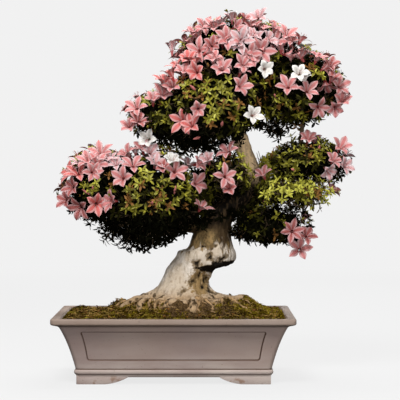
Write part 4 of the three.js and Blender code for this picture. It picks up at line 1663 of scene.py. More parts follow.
    def limbs(self) -> BMesh:
        """Returns the trunk, roots and boughs as tubes that run into each other."""
        bm = bmesh.new()
        trunk = self.trunk_line(self.trunk_steps)
        level = [Matrix.Translation(s[:3]) @ Matrix.Diagonal((s[3], s[4], 1.0, 1.0)) for s in trunk]
        self.sweep(bm, level, self.trunk_sides)
        bumpy, across = self.root_knobs
        for index, root in enumerate(self.roots):
            line = self.root_line(index)
            taper = root.thick * np.linspace(1, self.root_tip, self.root_steps)
            self.sweep_limb(bm, line, taper * (1 + bumpy * lumps(line, across, index)), self.root_sides)
            for fork, radii in self.forks(index, line):
                self.sweep_limb(bm, fork, radii, self.fork_sides)
        for index, mass in enumerate(self.spaces.masses):
            self.lines.append(self.bough_line(index))
            taper = mass.thick * np.linspace(1, self.bough_tip, self.bough_steps)
            self.sweep_limb(bm, self.lines[-1], taper, self.bough_sides)
        bmesh.ops.recalc_face_normals(bm, faces=bm.faces)
        return bm

    def fuse(self, bm: BMesh) -> Mesh:
        """Fuses tubes that run into each other.

        Args:
            bm: the tubes, which are used up.

        Returns:
            One smooth closed mesh.
        """
        mesh = bpy.data.meshes.new("wood")
        bm.to_mesh(mesh)
        bm.free()
        holder = bpy.data.objects.new("wood", mesh)
        bpy.context.scene.collection.objects.link(holder)
        remesh = holder.modifiers.new("fuse", "REMESH")
        remesh.mode = "VOXEL"
        remesh.voxel_size = self.voxel
        soften = holder.modifiers.new("soften", "SMOOTH")
        soften.factor, soften.iterations = self.soften
        fused = bpy.data.meshes.new_from_object(holder.evaluated_get(bpy.context.evaluated_depsgraph_get()))
        bpy.data.objects.remove(holder)
        bpy.data.meshes.remove(mesh)
        return fused

    def relief(self, mesh: Mesh) -> None:
        """Carves the bark: ridges, lumps, root folds and hollows; stores where rust is, and where hollows,
        stains and painted shade in crevices and under the burl are.

        Args:
            mesh: the fused wood.
        """
        points, normals = read_points(mesh), read_points(mesh, "normal")
        x, y, z = points.T
        foot = self.stations[0]
        around = unit((points - (foot.x, foot.y, 0)) * (1, 1, 0)) * 100
        ridges, folds = Grain.RIDGES.creases(points), Grain.FOLDS.creases(around + points * (0, 0, 0.3))
        low, high = 1 - smooth_step(z, *self.flared), smooth_step(z, *self.ridged)
        fine = Grain.FINE.read(points)
        knobs = Grain.SWELL.read(points) * 3.2 + Grain.WRINKLES.read(points) * 0.7
        move = ridges * (0.4 + 1.1 * high) + knobs * (1 - high) + fine * 0.7 + folds * 5.5 * low
        torn = Grain.TORN.read(points) + 0.6 * fine
        back = smooth_step(y, *self.behind) * smooth_step(z, *self.clear_of_soil)
        hollow = smooth_step(Grain.HOLLOWS.read(points) + 0.3 * torn, 0.2, 0.7) * back
        move -= 3.5 * hollow
        front = smooth_step(-normals[:, 1] + np.maximum(-normals[:, 2], 0), -0.1, 0.25)
        level = np.stack([x, z], 1)
        for *oval, depth in self.blots:
            near = (1 - smooth_step(MossBed.from_oval(level, oval) + 0.55 * torn, 0.0, 1.15)) * front
            move -= depth * near
            hollow = np.maximum(hollow, near)
        # painted shade under the burl, where it overhangs
        under = smooth_step(-normals[:, 2], 0.15, 0.5) * smooth_step(z, *self.burl_under)
        under = under * (1 - smooth_step(z, *self.burl_over))
        # painted shade in the bark's crevices and root folds
        crevice_shade = smooth_step(-ridges, 0.35, 0.9) * 0.35 + smooth_step(-folds, 0.2, 0.8) * 0.6 * low
        rust = (1 - smooth_step(MossBed.from_oval(level, self.rusty), 0.3, 1.1)) * front
        mesh.vertices.foreach_set("co", (points + normals * move[:, None]).reshape(-1))
        # dark: the hollows with their stains, and the painted shade of the crevices and the overhang,
        # together
        dark = np.maximum.reduce([hollow, crevice_shade, self.deepest * under])
        for name, values in (("hollow", dark), ("rust", rust)):
            layer = mesh.attributes.new(name, "FLOAT", "POINT")
            layer.data.foreach_set("value", np.clip(values, 0, self.deepest))

    def flare_height(self, spots: Array) -> Array:
        """Finds the trunk's flared foot.

        Args:
            spots: places, as x and y.

        Returns:
            The height of the flare over each, or that of its lowest section outside it.
        """
        line = self.trunk_line(1400)
        line = line[line[:, 2] < self.flare_top]
        share = np.hypot((spots[:, :1] - line[:, 0]) / line[:, 3], (spots[:, 1:] - line[:, 1]) / line[:, 4])
        return np.where(share <= 1, line[:, 2], line[0, 2]).max(1)

    def rootlet_shape(self) -> Shape:
        """Returns the fine roots that wander and fork from the flare over the soil, closer in front."""
        run = Seeded(77)
        count, steps = self.rootlets, self.rootlet_steps
        share = np.linspace(0, 1, steps)
        first, last, ahead = self.rootlets_ahead
        front, others = np.linspace(first, last, ahead), np.linspace(*self.rootlets_round, count - ahead)
        bearing = np.radians(np.concatenate([front, others]) + 4 * run.spread(count))[:, None]
        near, far = run.sizes(self.rootlet_from, count, 1), run.sizes(self.rootlet_to, count, 1)
        turn = bearing + np.cumsum(run.spread(count, steps) * self.rootlet_wander[0], 1)
        out = near + (far - near) * share
        parent = (run.draw(count) * count).astype(int)
        fork = run.sizes(self.rootlet_fork, count).astype(int)
        away = np.where(run.draw(count, 1) > 0.5, self.rootlet_away, -self.rootlet_away) * share
        wander = np.cumsum(run.spread(count, steps) * self.rootlet_wander[1], 1)
        turn = np.concatenate([turn, turn[parent, fork][:, None] + away + wander])
        more = run.sizes(self.rootlet_more, count, 1) * share
        out = np.concatenate([out, out[parent, fork][:, None] + more])
        thick = np.concatenate([2.4 + 3.0 * run.draw(count) ** 2, 1.4 + 1.4 * run.draw(count)])[:, None]
        thick = thick * np.linspace(*self.rootlet_taper, steps)
        foot = self.stations[0]
        x, y = foot.x + foot.wide * out * np.cos(turn), foot.y + foot.deep * out * np.sin(turn)
        spots = np.stack([x, y], -1)
        flat = spots.reshape(-1, 2)
        ground = np.maximum(self.soil.surface(flat), self.flare_height(flat)).reshape(thick.shape)
        smooth = (ground[:, [0, *range(steps - 1)]] + ground + ground[:, [*range(1, steps), steps - 1]]) / 3
        rise, vary = self.rootlet_rise
        z = smooth + rise + vary * run.spread(*thick.shape) - self.rootlet_dive * share**5
        return tubes(np.concatenate([spots, z[..., None]], -1), thick, self.rootlet_sides)

    def build(self) -> None:
        """Builds the fused wood and the fine roots on the soil."""
        mesh = self.fuse(self.limbs())
        self.relief(mesh)
        mesh.vertices.foreach_set("co", self.bench.to_row(read_points(mesh)).reshape(-1))
        mesh.shade_smooth()
        nodes = ["trunk"] + [f"{mass.name}_bough" for mass in self.spaces.masses]
        self.bench.piece("bark", mesh, OldBark().material(), Slot.BARK, nodes)
        self.bench.piece("rootlets", self.rootlet_shape(), self.rootlet_bark.material(), Slot.BARK)


# Foliage


class Leaf(Enum):
    """The leaves' tints, from the shaded to the sunlit tips, then those of the old and the inmost leaves:
    lit and shaded copies of one leaf green that paint light and shade, the brightest also the young leaves'
    colour, the old leaves' own russet, and the inmost leaves in painted shade.
    """

    SHADE = (0.004, 0.004, 0.0016)
    DEEP = (0.021, 0.020, 0.003)
    MID = (0.112, 0.102, 0.009)
    LIGHT = (0.290, 0.264, 0.024)
    FRESH = (0.480, 0.462, 0.060)
    RUSSET = (0.230, 0.105, 0.026)
    INNER = (0.004, 0.0042, 0.0016)


@dataclass(frozen=True)
class Petals:
    """The colours of a blossom, from its tips to its throat."""

    tip: Colour
    blade: Colour
    throat: Colour


class Bloom(Enum):
    """The kinds of blossom on the tree."""

    PINK = Petals((0.560, 0.330, 0.325), (0.520, 0.178, 0.172), (0.350, 0.060, 0.058))
    PALE = Petals((0.590, 0.455, 0.462), (0.590, 0.318, 0.318), (0.420, 0.110, 0.110))
    CORAL = Petals((0.580, 0.282, 0.270), (0.535, 0.122, 0.110), (0.340, 0.032, 0.030))
    DUSKY = Petals((0.480, 0.258, 0.256), (0.358, 0.096, 0.088), (0.170, 0.024, 0.024))
    WHITE = Petals((0.740, 0.715, 0.680), (0.640, 0.612, 0.565), (0.400, 0.385, 0.240))


# Where the photograph shows the blossoms by kind, the hanging sprays by depth, and the buds, in pixels
FRONT_BLOOMS: dict[Bloom, tuple[Pair, ...]] = {
    Bloom.PINK: (
        (205, 26), (194, 33), (227, 38), (262, 28), (287, 34), (198, 50), (209, 51), (222, 69),
        (250, 54), (261, 51), (289, 55), (303, 53), (317, 58), (340, 86), (241, 86), (288, 86),
        (308, 90), (342, 101), (335, 108), (319, 108), (163, 94), (153, 100), (172, 86), (136, 107),
        (129, 126), (198, 109), (227, 150), (308, 139), (341, 147), (88, 160), (100, 152), (98, 163),
        (127, 154), (133, 164), (122, 178), (199, 163), (197, 183), (226, 176), (202, 206), (263, 174),
        (300, 249), (111, 201), (93, 172), (274, 31), (243, 64), (334, 160), (184, 72), (301, 39),
        (142, 148), (176, 171), (214, 26), (236, 27), (280, 46), (190, 42), (213, 60),
    ),
    Bloom.PALE: (
        (220, 22), (231, 18), (258, 17), (252, 35), (172, 48), (109, 159), (116, 164), (151, 152),
        (156, 163), (189, 164), (328, 171), (345, 166), (240, 40), (268, 40), (80, 163), (208, 160),
    ),
    Bloom.CORAL: (
        (188, 60), (171, 74), (196, 72), (182, 121), (191, 125), (78, 172), (70, 172), (97, 204),
        (176, 64), (164, 80),
    ),
    Bloom.DUSKY: (
        (244, 20), (212, 45), (330, 65), (332, 78), (139, 120), (72, 187), (65, 200), (307, 235),
        (292, 231), (79, 208), (229, 188), (163, 168), (180, 55),
    ),
    Bloom.WHITE: ((265, 69), (299, 73), (253, 115), (148, 139), (172, 160)),
}
HANGING: dict[float, tuple[Pair, ...]] = {
    -26.0: (
        (256, 125), (262, 127), (267, 131), (272, 134), (278, 137), (283, 132), (289, 128), (276, 127),
        (237, 233), (240, 239), (205, 219), (200, 228), (212, 214), (222, 217), (231, 214), (238, 216),
        (244, 221),
    ),
    -70.0: (
        (168, 145), (176, 148), (183, 151), (190, 152), (197, 151), (206, 150), (214, 149), (221, 146),
        (200, 146), (180, 145), (187, 147), (211, 145),
    ),
    -10.0: (
        (195, 166), (201, 168), (207, 169), (213, 170), (218, 168), (204, 163), (210, 164), (198, 172),
        (206, 175),
    ),
    -30.0: (
        (92, 225), (100, 230), (107, 234), (112, 239), (118, 243), (124, 247), (131, 248), (138, 249),
        (146, 250), (104, 240), (114, 233), (127, 240),
    ),
}
FRONT_BUDS = (
    (197, 138), (222, 124), (276, 97), (193, 88), (86, 192), (152, 203), (175, 190), (174, 177), (93, 189),
    (319, 149), (294, 170), (264, 205),
)


@dataclass(frozen=True)
class Eye:
    """The photograph's camera: its place, and what a pixel covers at the trunk."""

    x: float = 52.0
    away: float = 3440.0
    z: float = 424.7
    centre: Pair = (200.0, 169.0)
    pixel: float = 2.04
    picture: float = 400.0

    def at(self) -> Array:
        """Returns where the camera stands."""
        return np.array([self.x, -self.away, self.z])

    def ray(self, spot: Pair | Array) -> Array:
        """Returns the way from the camera through a pixel of the photograph."""
        across, down = ((pixel - middle) * self.pixel for pixel, middle in zip(spot, self.centre))
        return unit(np.array([across, self.away, -down]))


@dataclass
class Blossoms:
    """The places of the blossoms, the ways they look, their kinds and whether the photograph shows them."""

    at: list[Array] = field(default_factory=list)
    way: list[Array] = field(default_factory=list)
    kind: list[Bloom] = field(default_factory=list)
    seen: list[bool] = field(default_factory=list)

    def add(self, at: Array, way: Array, kind: Bloom, seen: bool = False) -> None:
        """Adds one blossom."""
        for kept, value in zip((self.at, self.way, self.kind, self.seen), (at, way, kind, seen)):
            kept.append(value)

    def clear_of(self, spot: Array, gap: float) -> bool:
        """Returns whether a place is further than a gap from every blossom."""
        return not self.at or float(np.linalg.norm(np.array(self.at) - spot, axis=1).min()) > gap


@dataclass(frozen=True)
class Tier:
    """Leaves of a whorl at one level: their number, opening in degrees, share of length, and by how many
    tints brighter their painted light is.
    """

    leaves: int
    opening: float
    share: float
    lift: int


@dataclass(frozen=True)
class Layer:
    """A layer of shoots: the skin's area for each, the range of their depths, the painted light or shade of
    their tints, and tiers.
    """

    area: float
    depth: Pair
    bright: float
    tiers: tuple[Tier, ...]


@dataclass(frozen=True)
class Twig:
    """A sort of twig: its radii at the start and the tip, its sag and its sides."""

    thick: float
    tip: float
    sag: float
    sides: int


@dataclass
class Foliage:
    """Twigs, leaves and blossoms that grow on from the limbs by the source's rule.

    Ranges are a least size and what chance adds to it.
    """

    bench: Bench
    spaces: Spaces
    wood: Wood
    eye: Eye = Eye()
    seed: int = 3
    far: float = 1.32
    sight: Point = (-240.0, 20.0, 2.0)
    skin_depth: Pair = (-0.08, 0.05)
    # the outer layer is dealt brighter tints, painted light; the inner one darker tints, painted shade
    layers: tuple[Layer, ...] = (
        Layer(270.0, (0.0, 11.0), 0.42, (Tier(4, 74.0, 1.0, 0), Tier(3, 40.0, 0.72, 1))),
        Layer(165.0, (12.0, 22.0), -0.55, (Tier(5, 66.0, 1.0, 0),)),
    )
    lumpy: float = 11.0
    lump_across: float = 34.0
    bay_across: float = 74.0
    tint_steps: tuple[float, ...] = (-0.30, 0.05, 0.45, 1.00)
    russet: float = 0.86
    stray: float = 12.0
    strays: float = 0.95
    trimmed: float = 0.2
    stem: Pair = (0.52, 0.36)
    stem_sunk: float = 4.0
    ring_thick: float = 0.3
    ring_taper: float = 0.6
    ring_vary: float = 0.06
    rings: tuple[tuple[float, int], ...] = ((0.40, 9), (0.66, 40))
    last_ring: Pair = (34.0, 6.0)
    last_ring_area: float = 1500.0
    shoot: Twig = Twig(0.9, 0.55, 1.5, 3)
    leaf_length: Pair = (10.5, 17.0)
    leaf_width: Pair = (0.34, 0.44)
    leaf_rows: tuple[Pair, ...] = ((0.36, 0.86), (0.70, 0.80))
    leaf_fold: float = 0.32
    leaf_curl: Pair = (-0.10, -0.16)
    leaf_back: float = 2.0
    leaf_turn: float = 0.42
    leaf_open: float = 22.0
    shade_area: float = 260.0
    shade_depth: Pair = (24.0, 22.0)
    shade_dents: float = 0.7
    shade_length: Pair = (20.0, 10.0)
    shade_fold: float = 0.2
    shade_curl: float = -0.12
    piece_faces: int = 180000
    leafy: Pair = (318.0, 420.0)
    leafy_count: int = 100
    leafy_reach: Pair = (6.0, 20.0)
    leafy_twig: Twig = Twig(1.0, 0.6, 1.0, 3)
    # the height about which the limbs' leafy shoots turn from painted shade to painted light, and over how
    # much
    dim: Pair = (372.0, 110.0)
    hanging_twig: Twig = Twig(1.3, 0.8, 2.0, 4)
    hanging_vary: Pair = (2.2, 20.0)
    hanging_whorls: Point = (0.7, 0.85, 1.0)
    branch: Twig = Twig(5.5, 3.6, 0.0, 7)
    branch_ends: tuple[Point, Point] = ((-19.0, 0.0, 14.0), (10.0, -10.0, -50.0))
    turned: Point = (0.80, 0.34, 0.52)
    crowded: float = 84.0
    alone: float = 0.3
    beside: Pair = (11.0, 9.0)
    behind: float = 7.0
    inside: float = -0.06
    white_ahead: float = 12.0
    bloom_area: float = 420.0
    bloom_share: float = 0.92
    bloom_gap: float = 27.0
    bloom_odds: tuple[int, ...] = (12, 4, 3, 2, 2)
    hidden: float = 0.06
    lowest: float = -0.3
    cleared: Point = (21.0, -15.0, 40.0)
    unveiled: Pair = (17.0, -60.0)
    stalk: Twig = Twig(1.1, 0.8, 2.0, 4)
    blossom_foot: float = 15.0
    blossom_scale: Pair = (0.94, 1.16)
    sixth_petal: float = 0.86
    openness: Pair = (0.62, 0.44)
    petal_rows: tuple[Point, ...] = (
        (1.5, 0.0, 1.2), (3.0, 7.5, 2.5), (6.4, 13.0, 4.6), (11.2, 17.0, 6.5), (15.8, 19.2, 6.5),
        (20.6, 20.0, 4.1), (25.6, 18.6, 0.4),
    )
    petal_columns: tuple[float, ...] = (-1.0, -0.45, 0.0, 0.45, 1.0)
    petal_turn: float = 0.12
    petal_vary: float = 0.13
    petal_droop: float = 4.0
    petal_cup: Pair = (0.26, 0.40)
    throat_rows: int = 1
    stamens: int = 6
    stamen_length: Pair = (15.0, 5.0)
    stamen_foot: float = 8.0
    stamen_sag: float = 1.2
    anther: float = 1.6
    stamen_radii: tuple[float, ...] = (0.4, 0.32, 0.3, 0.75)
    bud_length: float = 15.0
    bud_shares: tuple[float, ...] = (-0.75, -0.5, -0.2, 0.15, 0.5, 0.75)
    bud_radii: tuple[float, ...] = (0.8, 1.9, 2.9, 2.7, 1.6, 0.3)
    twig_shapes: list[Shape] = field(default_factory=list)
    leaf_shapes: dict[Leaf, list[Shape]] = field(default_factory=dict)
    blossoms: Blossoms = field(default_factory=Blossoms)
    buds: list[tuple[Array, Array]] = field(default_factory=list)
    limb_points: Array | None = None
    limb_radii: Array | None = None

    def find_limbs(self) -> None:
        """Stores balls along the trunk and boughs, which leaves keep clear of."""
        trunk = self.wood.trunk_line(90)
        taper = np.linspace(1, self.wood.bough_tip, self.wood.bough_steps)
        boughs = [mass.thick * taper for mass in self.spaces.masses]
        self.limb_points = np.concatenate([trunk[:, :3], *self.wood.lines])
        self.limb_radii = np.concatenate([trunk[:, 3:].max(1), *boughs])

    def clear(self, points: Array, gap: float) -> Array:
        """Returns which points are further than a gap from every limb."""
        away = np.linalg.norm(points[:, None] - self.limb_points[None], axis=2) - self.limb_radii
        return away.min(1) > gap

    def place_front_blooms(self) -> None:
        """Places the blossoms and buds that the photograph shows, with more blossoms behind the top ones."""
        run = Seeded(self.seed * 1000)
        white, high, other = self.turned
        for kind, spot in [(kind, spot) for kind, spots in FRONT_BLOOMS.items() for spot in spots]:
            at, outward = self.on_skin(spot)
            to_eye = unit(self.eye.at() - at)
            turned = white if kind is Bloom.WHITE else high if spot[1] < self.crowded else other
            way = unit(0.50 * outward + turned * to_eye + 0.42 * UP + (1 - turned) * run.spread(3))
            ahead = self.white_ahead if kind is Bloom.WHITE else 0.0
            self.blossoms.add(at + ahead * to_eye, way, kind, True)
            if spot[1] < self.crowded and run.one() > self.alone:
                at, outward = self.on_skin(spot + run.spread(2) * self.beside)
                way = unit(outward + 0.3 * UP + 0.9 * run.spread(3))
                if self.spaces.blend(at[None])[0] < self.inside:
                    self.blossoms.add(at - self.behind * outward, way, kind)
        for spot in FRONT_BUDS:
            at, outward = self.on_skin(spot)
            self.buds.append((at, unit(outward + 0.5 * UP + 0.4 * run.spread(3))))

    def on_skin(self, spot: Pair | Array) -> tuple[Array, Array]:
        """Finds where the line of sight through a pixel meets a mass.

        Args:
            spot: the pixel of the photograph.

        Returns:
            The place on or just inside the nearest mass's skin, and the way out there.
        """
        near, far, step = self.sight
        away = self.eye.away + np.arange(near, far, step)
        line = self.eye.at() + self.eye.ray(spot) * away[:, None]
        shares, out = self.spaces.shares(line), self.spaces.blend(line)
        first = int((out <= max(self.skin_depth[0], out.min() + self.skin_depth[1])).argmax())
        index = int(shares[:, first].argmin())
        heart, radii = self.spaces.egg(index)
        at = heart + (line[first] - heart) * min(1.0, self.far / max(shares[index, first], 1e-6))
        return at, unit((at - heart) / radii**2)

    def place_other_blooms(self) -> None:
        """Places blossoms by the source's rule where the photograph doesn't look: top, sides and back."""
        kinds = [kind for kind, odds in zip(Bloom, self.bloom_odds) for _ in range(odds)]
        for index, mass in enumerate(self.spaces.masses):
            run = Seeded(self.seed * 100 + index)
            ways = even_directions(round(self.spaces.area(index) / self.bloom_area), run)
            heart, radii = self.spaces.egg(index)
            outward = unit(ways / radii)
            at = heart + ways * radii * self.bloom_share
            chosen = ways @ unit(np.array(mass.bloom, float)) - mass.edge > 0
            chosen &= (outward[:, 1] > self.hidden) & (outward[:, 2] > self.lowest)
            chosen &= self.spaces.own(index, at)
            order = run.draw(len(ways)).argsort()
            for pick in order[chosen[order]]:
                if self.blossoms.clear_of(at[pick], self.bloom_gap):
                    way = unit(outward[pick] + 0.7 * UP + 0.45 * run.spread(3))
                    self.blossoms.add(at[pick], way, kinds[int(run.one() * len(kinds))])

    def add_twigs(self, starts: Array, ends: Array, twig: Twig) -> None:
        """Adds twigs, each a little bowed.

        Args:
            starts: where they start.
            ends: where they end.
            twig: their sort.
        """
        lines = np.stack([starts, (starts + ends) / 2 - UP * twig.sag, ends], 1)
        radii = np.tile(np.linspace(twig.thick, twig.tip, 3), (len(starts), 1))
        self.twig_shapes.append(tubes(lines, radii, twig.sides))

    @staticmethod
    def nearest(points: Array, parents: Array) -> Array:
        """Returns each point's nearest parent."""
        return parents[np.linalg.norm(points[:, None] - parents[None], axis=2).argmin(1)]

    def grow(self, index: int) -> None:
        """Grows one mass: its stem, rings of finer twigs, shoots, leaves and the stalks of its blossoms.

        Args:
            index: the mass.
        """
        mass = self.spaces.masses[index]
        run = Seeded(self.seed * 100 + 50 + index)
        heart, radii = self.spaces.egg(index)
        tip = self.wood.lines[index][-1]
        stem = Twig(mass.thick * self.stem[0], mass.thick * self.stem[1], 0, 8)
        self.add_twigs(tip[None] - unit(heart - tip) * self.stem_sunk, heart[None], stem)
        parents = np.stack([lerp(tip, heart, 0.5), heart])
        thick = mass.thick * self.ring_thick
        for share, count in self.rings:
            ways = even_directions(count, run)
            ends = heart + ways * radii * (share + self.ring_vary * run.spread(count, 1))
            ends = ends[self.spaces.own(index, ends)]
            self.add_twigs(self.nearest(ends, parents), ends, Twig(thick, thick * self.ring_taper, 4, 5))
            parents, thick = np.concatenate([parents, ends]), thick * self.ring_taper
        count = round(self.spaces.area(index) / self.last_ring_area)
        ways = even_directions(count, run)
        depth, vary = self.last_ring
        ends = self.spaces.below(index, ways, depth + vary * run.spread(count))
        ends = ends[self.spaces.own(index, ends) & self.clear(ends, 2.0)]
        self.add_twigs(self.nearest(ends, parents), ends, Twig(thick, thick * self.ring_taper, 3, 4))
        parents = np.concatenate([parents, ends])
        self.shoot_out(index, run, parents)
        self.fill_shade(index, run)
        self.stalk_blossoms(index, parents)

    def dents(self, index: int, ways: Array) -> Array:
        """Finds how far the leaves stand back from a mass's skin: humps and wider bays.

        Args:
            index: the mass.
            ways: directions from its heart.

        Returns:
            The depth in each direction.
        """
        heart, radii = self.spaces.egg(index)
        spots = heart + ways * radii
        hump = 0.5 - 0.5 * np.clip(1.5 * lumps(spots, self.lump_across, index), -1, 1)
        bay = np.clip(2.0 * lumps(spots, self.bay_across, index + 40), 0, 1)
        return self.lumpy * hump + self.spaces.masses[index].ragged * bay

    def shoot_out(self, index: int, run: Seeded, parents: Array) -> None:
        """Grows the last shoots of a mass in layers, whorls of leaves in painted sunlight outside and in
        painted shade behind.

        Args:
            index: the mass.
            run: numbers that vary them.
            parents: ends of the twigs that they start from.
        """
        mass = self.spaces.masses[index]
        heart, radii = self.spaces.egg(index)
        for layer in self.layers:
            count = round(self.spaces.area(index) / layer.area * mass.fullness)
            ways = even_directions(count, run)
            dents = self.dents(index, ways)
            depth = dents + mass.back + layer.depth[0] + layer.depth[1] * run.draw(count)
            depth = depth - self.stray * (run.draw(count) > self.strays)
            depth += mass.trim * np.maximum(-ways[:, 2] - self.trimmed, 0)
            tips = self.spaces.below(index, ways, depth, self.spaces.skin(index, ways))
            keep = self.spaces.own(index, tips) & self.clear(tips, 4.0) & self.away_from_blooms(tips)
            keep &= (ways[:, 2] > 0) | (run.draw(count) > mass.opened)
            tips, dents = tips[keep], dents[keep]
            outward = unit(ways[keep] / radii)
            ahead = unit(outward + 0.35 * UP + 0.42 * run.spread(len(tips), 3))
            self.add_twigs(self.nearest(tips, parents), tips, self.shoot)
            # painted light and shade: whorls facing up and to the front get brighter tints, while deeper
            # ones, those in bays and those low on the mass get darker ones
            low = np.maximum(mass.dusk - (tips[:, 2] - heart[2]) / radii[2], 0)
            lit = layer.bright + 0.30 * outward[:, 2] - 0.10 * outward[:, 1] - dents / 60
            lit = lit - mass.shade_strength * low + mass.fresh
            steps = np.digitize(lit + 0.45 * run.spread(len(tips)), self.tint_steps)
            russet = (run.draw(len(tips)) > self.russet) & (steps > 0) & (steps < 4)
            for tier in layer.tiers:
                tints = np.where(russet, 5, np.where(steps > 1, np.minimum(steps + tier.lift, 4), steps))
                self.deal(index, run, tips, ahead, tints, tier)

    def deal(self, index: int, run: Seeded, tips: Array, ahead: Array, tints: Array, tier: Tier) -> None:
        """Adds whorls of leaves in several tints.

        Args:
            index: the mass that they belong to.
            run: numbers that vary them.
            tips: the shoot tips.
            ahead: the ways the shoots lead.
            tints: the number of each whorl's tint.
            tier: the leaves' number, opening and length.
        """
        for number, tint in enumerate(Leaf):
            chosen = tints == number
            self.whorls(index, run, tips[chosen], ahead[chosen], tint, tier)

    def whorls(self, index: int, run: Seeded, tips: Array, ahead: Array, tint: Leaf, tier: Tier,
               beyond: float = 0.12) -> None:
        """Adds a whorl of leaves at each shoot tip.

        Args:
            index: the mass that they belong to.
            run: numbers that vary them.
            tips: the shoot tips.
            ahead: the ways the shoots lead.
            tint: the leaves' tint.
            tier: the leaves' number, opening and length.
            beyond: how far outside the joint skin they may end, as a share.
        """
        each, count = tier.leaves, len(tips)
        if not count:
            return
        first = unit(np.cross(clear_of_way(ahead, 0.9), ahead))
        second = np.cross(ahead, first)
        around = np.arange(each) / each * CIRCLE
        turn = run.draw(count, 1) * CIRCLE + around + self.leaf_turn * run.spread(count, each)
        out = swing(first[:, None], second[:, None], turn)
        opened = np.radians(tier.opening + self.leaf_open * run.spread(count, each))
        along = swing(ahead[:, None], out, opened).reshape(-1, 3)
        facing = swing(-out, ahead[:, None], opened).reshape(-1, 3)
        short, long = self.leaf_length
        length = lerp(short, long, run.draw(count * each)) * self.spaces.masses[index].leaf * tier.share
        wide = length * lerp(*self.leaf_width, run.draw(count * each))
        back = self.leaf_back * np.repeat(ahead, each, 0) * run.draw(count * each, 1)
        roots = np.repeat(tips, each, 0) - back
        ends = roots + along * length[:, None]
        keep = (self.spaces.blend(ends) <= beyond) & self.clear(ends, 1.0)
        curl = run.sizes(self.leaf_curl, count * each)
        parts = [part[keep] for part in (roots, along, facing, length, wide)]
        shape = blades(self.leaf_rows, *parts, self.leaf_fold, curl[keep])
        self.leaf_shapes.setdefault(tint, []).append(shape)

    def fill_shade(self, index: int, run: Seeded) -> None:
        """Fills the inside of a mass with large leaves in near-black painted shade, so that no sky shows
        through it.

        Args:
            index: the mass.
            run: numbers that vary them.
        """
        count = round(self.spaces.area(index) / self.shade_area * self.spaces.masses[index].shade)
        if not count:
            return
        ways = even_directions(count, run)
        depth = run.sizes(self.shade_depth, count) + self.shade_dents * self.dents(index, ways)
        tips = self.spaces.below(index, ways, depth)
        keep = self.spaces.own(index, tips) & self.clear(tips, 10.0)
        tips, ways = tips[keep], ways[keep]
        count = len(tips)
        along = unit(np.cross(ways, run.spread(count, 3)))
        facing = unit(ways + 0.5 * run.spread(count, 3))
        length = run.sizes(self.shade_length, count)
        roots = tips - along * length[:, None] / 2
        curl = np.full(count, self.shade_curl)
        shape = blades(self.leaf_rows, roots, along, facing, length, length * 0.5, self.shade_fold, curl)
        self.leaf_shapes.setdefault(Leaf.INNER, []).append(shape)

    def leaf_limbs(self) -> None:
        """Adds short leafy shoots along the lower boughs and on the trunk between them, in tints that paint
        light and shade.
        """
        run = Seeded(self.seed * 700)
        foot, top = self.leafy
        lines = [(index, self.wood.lines[index][5:], np.full(self.wood.bough_steps, mass.thick))
                 for index, mass in enumerate(self.spaces.masses) if mass.leave < top]
        trunk = self.wood.trunk_line(160)
        trunk = trunk[(trunk[:, 2] > foot) & (trunk[:, 2] < top)]
        lines.append((self.spaces.find("front_mass"), trunk[:, :3], trunk[:, 3]))
        for index, line, radii in lines:
            count = self.leafy_count
            spot = (run.draw(count) * len(line)).astype(int)
            way = unit(run.spread(count, 3) - (0, 0.3, 0))
            starts = line[spot]
            reach = radii[spot] + self.leafy_reach[0] + self.leafy_reach[1] * run.draw(count)
            tips = starts + way * reach[:, None]
            keep = self.clear(tips, 3.0) & self.away_from_blooms(tips)
            tips, way = tips[keep], way[keep]
            self.add_twigs(starts[keep], tips, self.leafy_twig)
            # painted light and shade: shoots facing up or to the front, and higher ones, get brighter tints
            lit = -0.2 + 0.3 * way[:, 2] - 0.2 * way[:, 1] + (tips[:, 2] - self.dim[0]) / self.dim[1]
            tints = np.digitize(lit + 0.3 * run.spread(len(tips)), self.tint_steps)
            self.deal(index, run, tips, way, tints, self.layers[1].tiers[0])

    def hang_sprays(self) -> None:
        """Adds the sprays, in painted shade, that the photograph shows hanging under the masses and beside
        the trunk.
        """
        run = Seeded(self.seed * 800)
        eye = self.eye.at()
        pixels, depths = self.hanging_vary
        for depth, spots in HANGING.items():
            rays = np.array([self.eye.ray(spot + pixels * run.spread(2)) for spot in np.repeat(spots, 2, 0)])
            tips = eye + rays * ((depth + depths * run.spread(len(rays)) - eye[1]) / rays[:, 1])[:, None]
            tips = tips[self.clear(tips, 1.0)]
            starts = self.nearest(tips, self.limb_points)
            self.add_twigs(starts, tips, self.hanging_twig)
            for share in self.hanging_whorls:
                way = unit(unit(tips - starts) - 0.2 * UP + 0.7 * run.spread(len(tips), 3))
                joints, tier = lerp(starts, tips, share), self.layers[1].tiers[0]
                self.whorls(self.spaces.find("right_mass"), run, joints, way, Leaf.SHADE, tier, 1.0)

    def raise_branch(self) -> None:
        """Adds the bare branch that rises from the right mass into the crown."""
        hearts = [self.spaces.hearts[self.spaces.find(name)] for name in ("right_mass", "crown_right")]
        start, end = np.array(hearts)[:, None] + np.array(self.branch_ends)[:, None]
        self.add_twigs(start, end, self.branch)

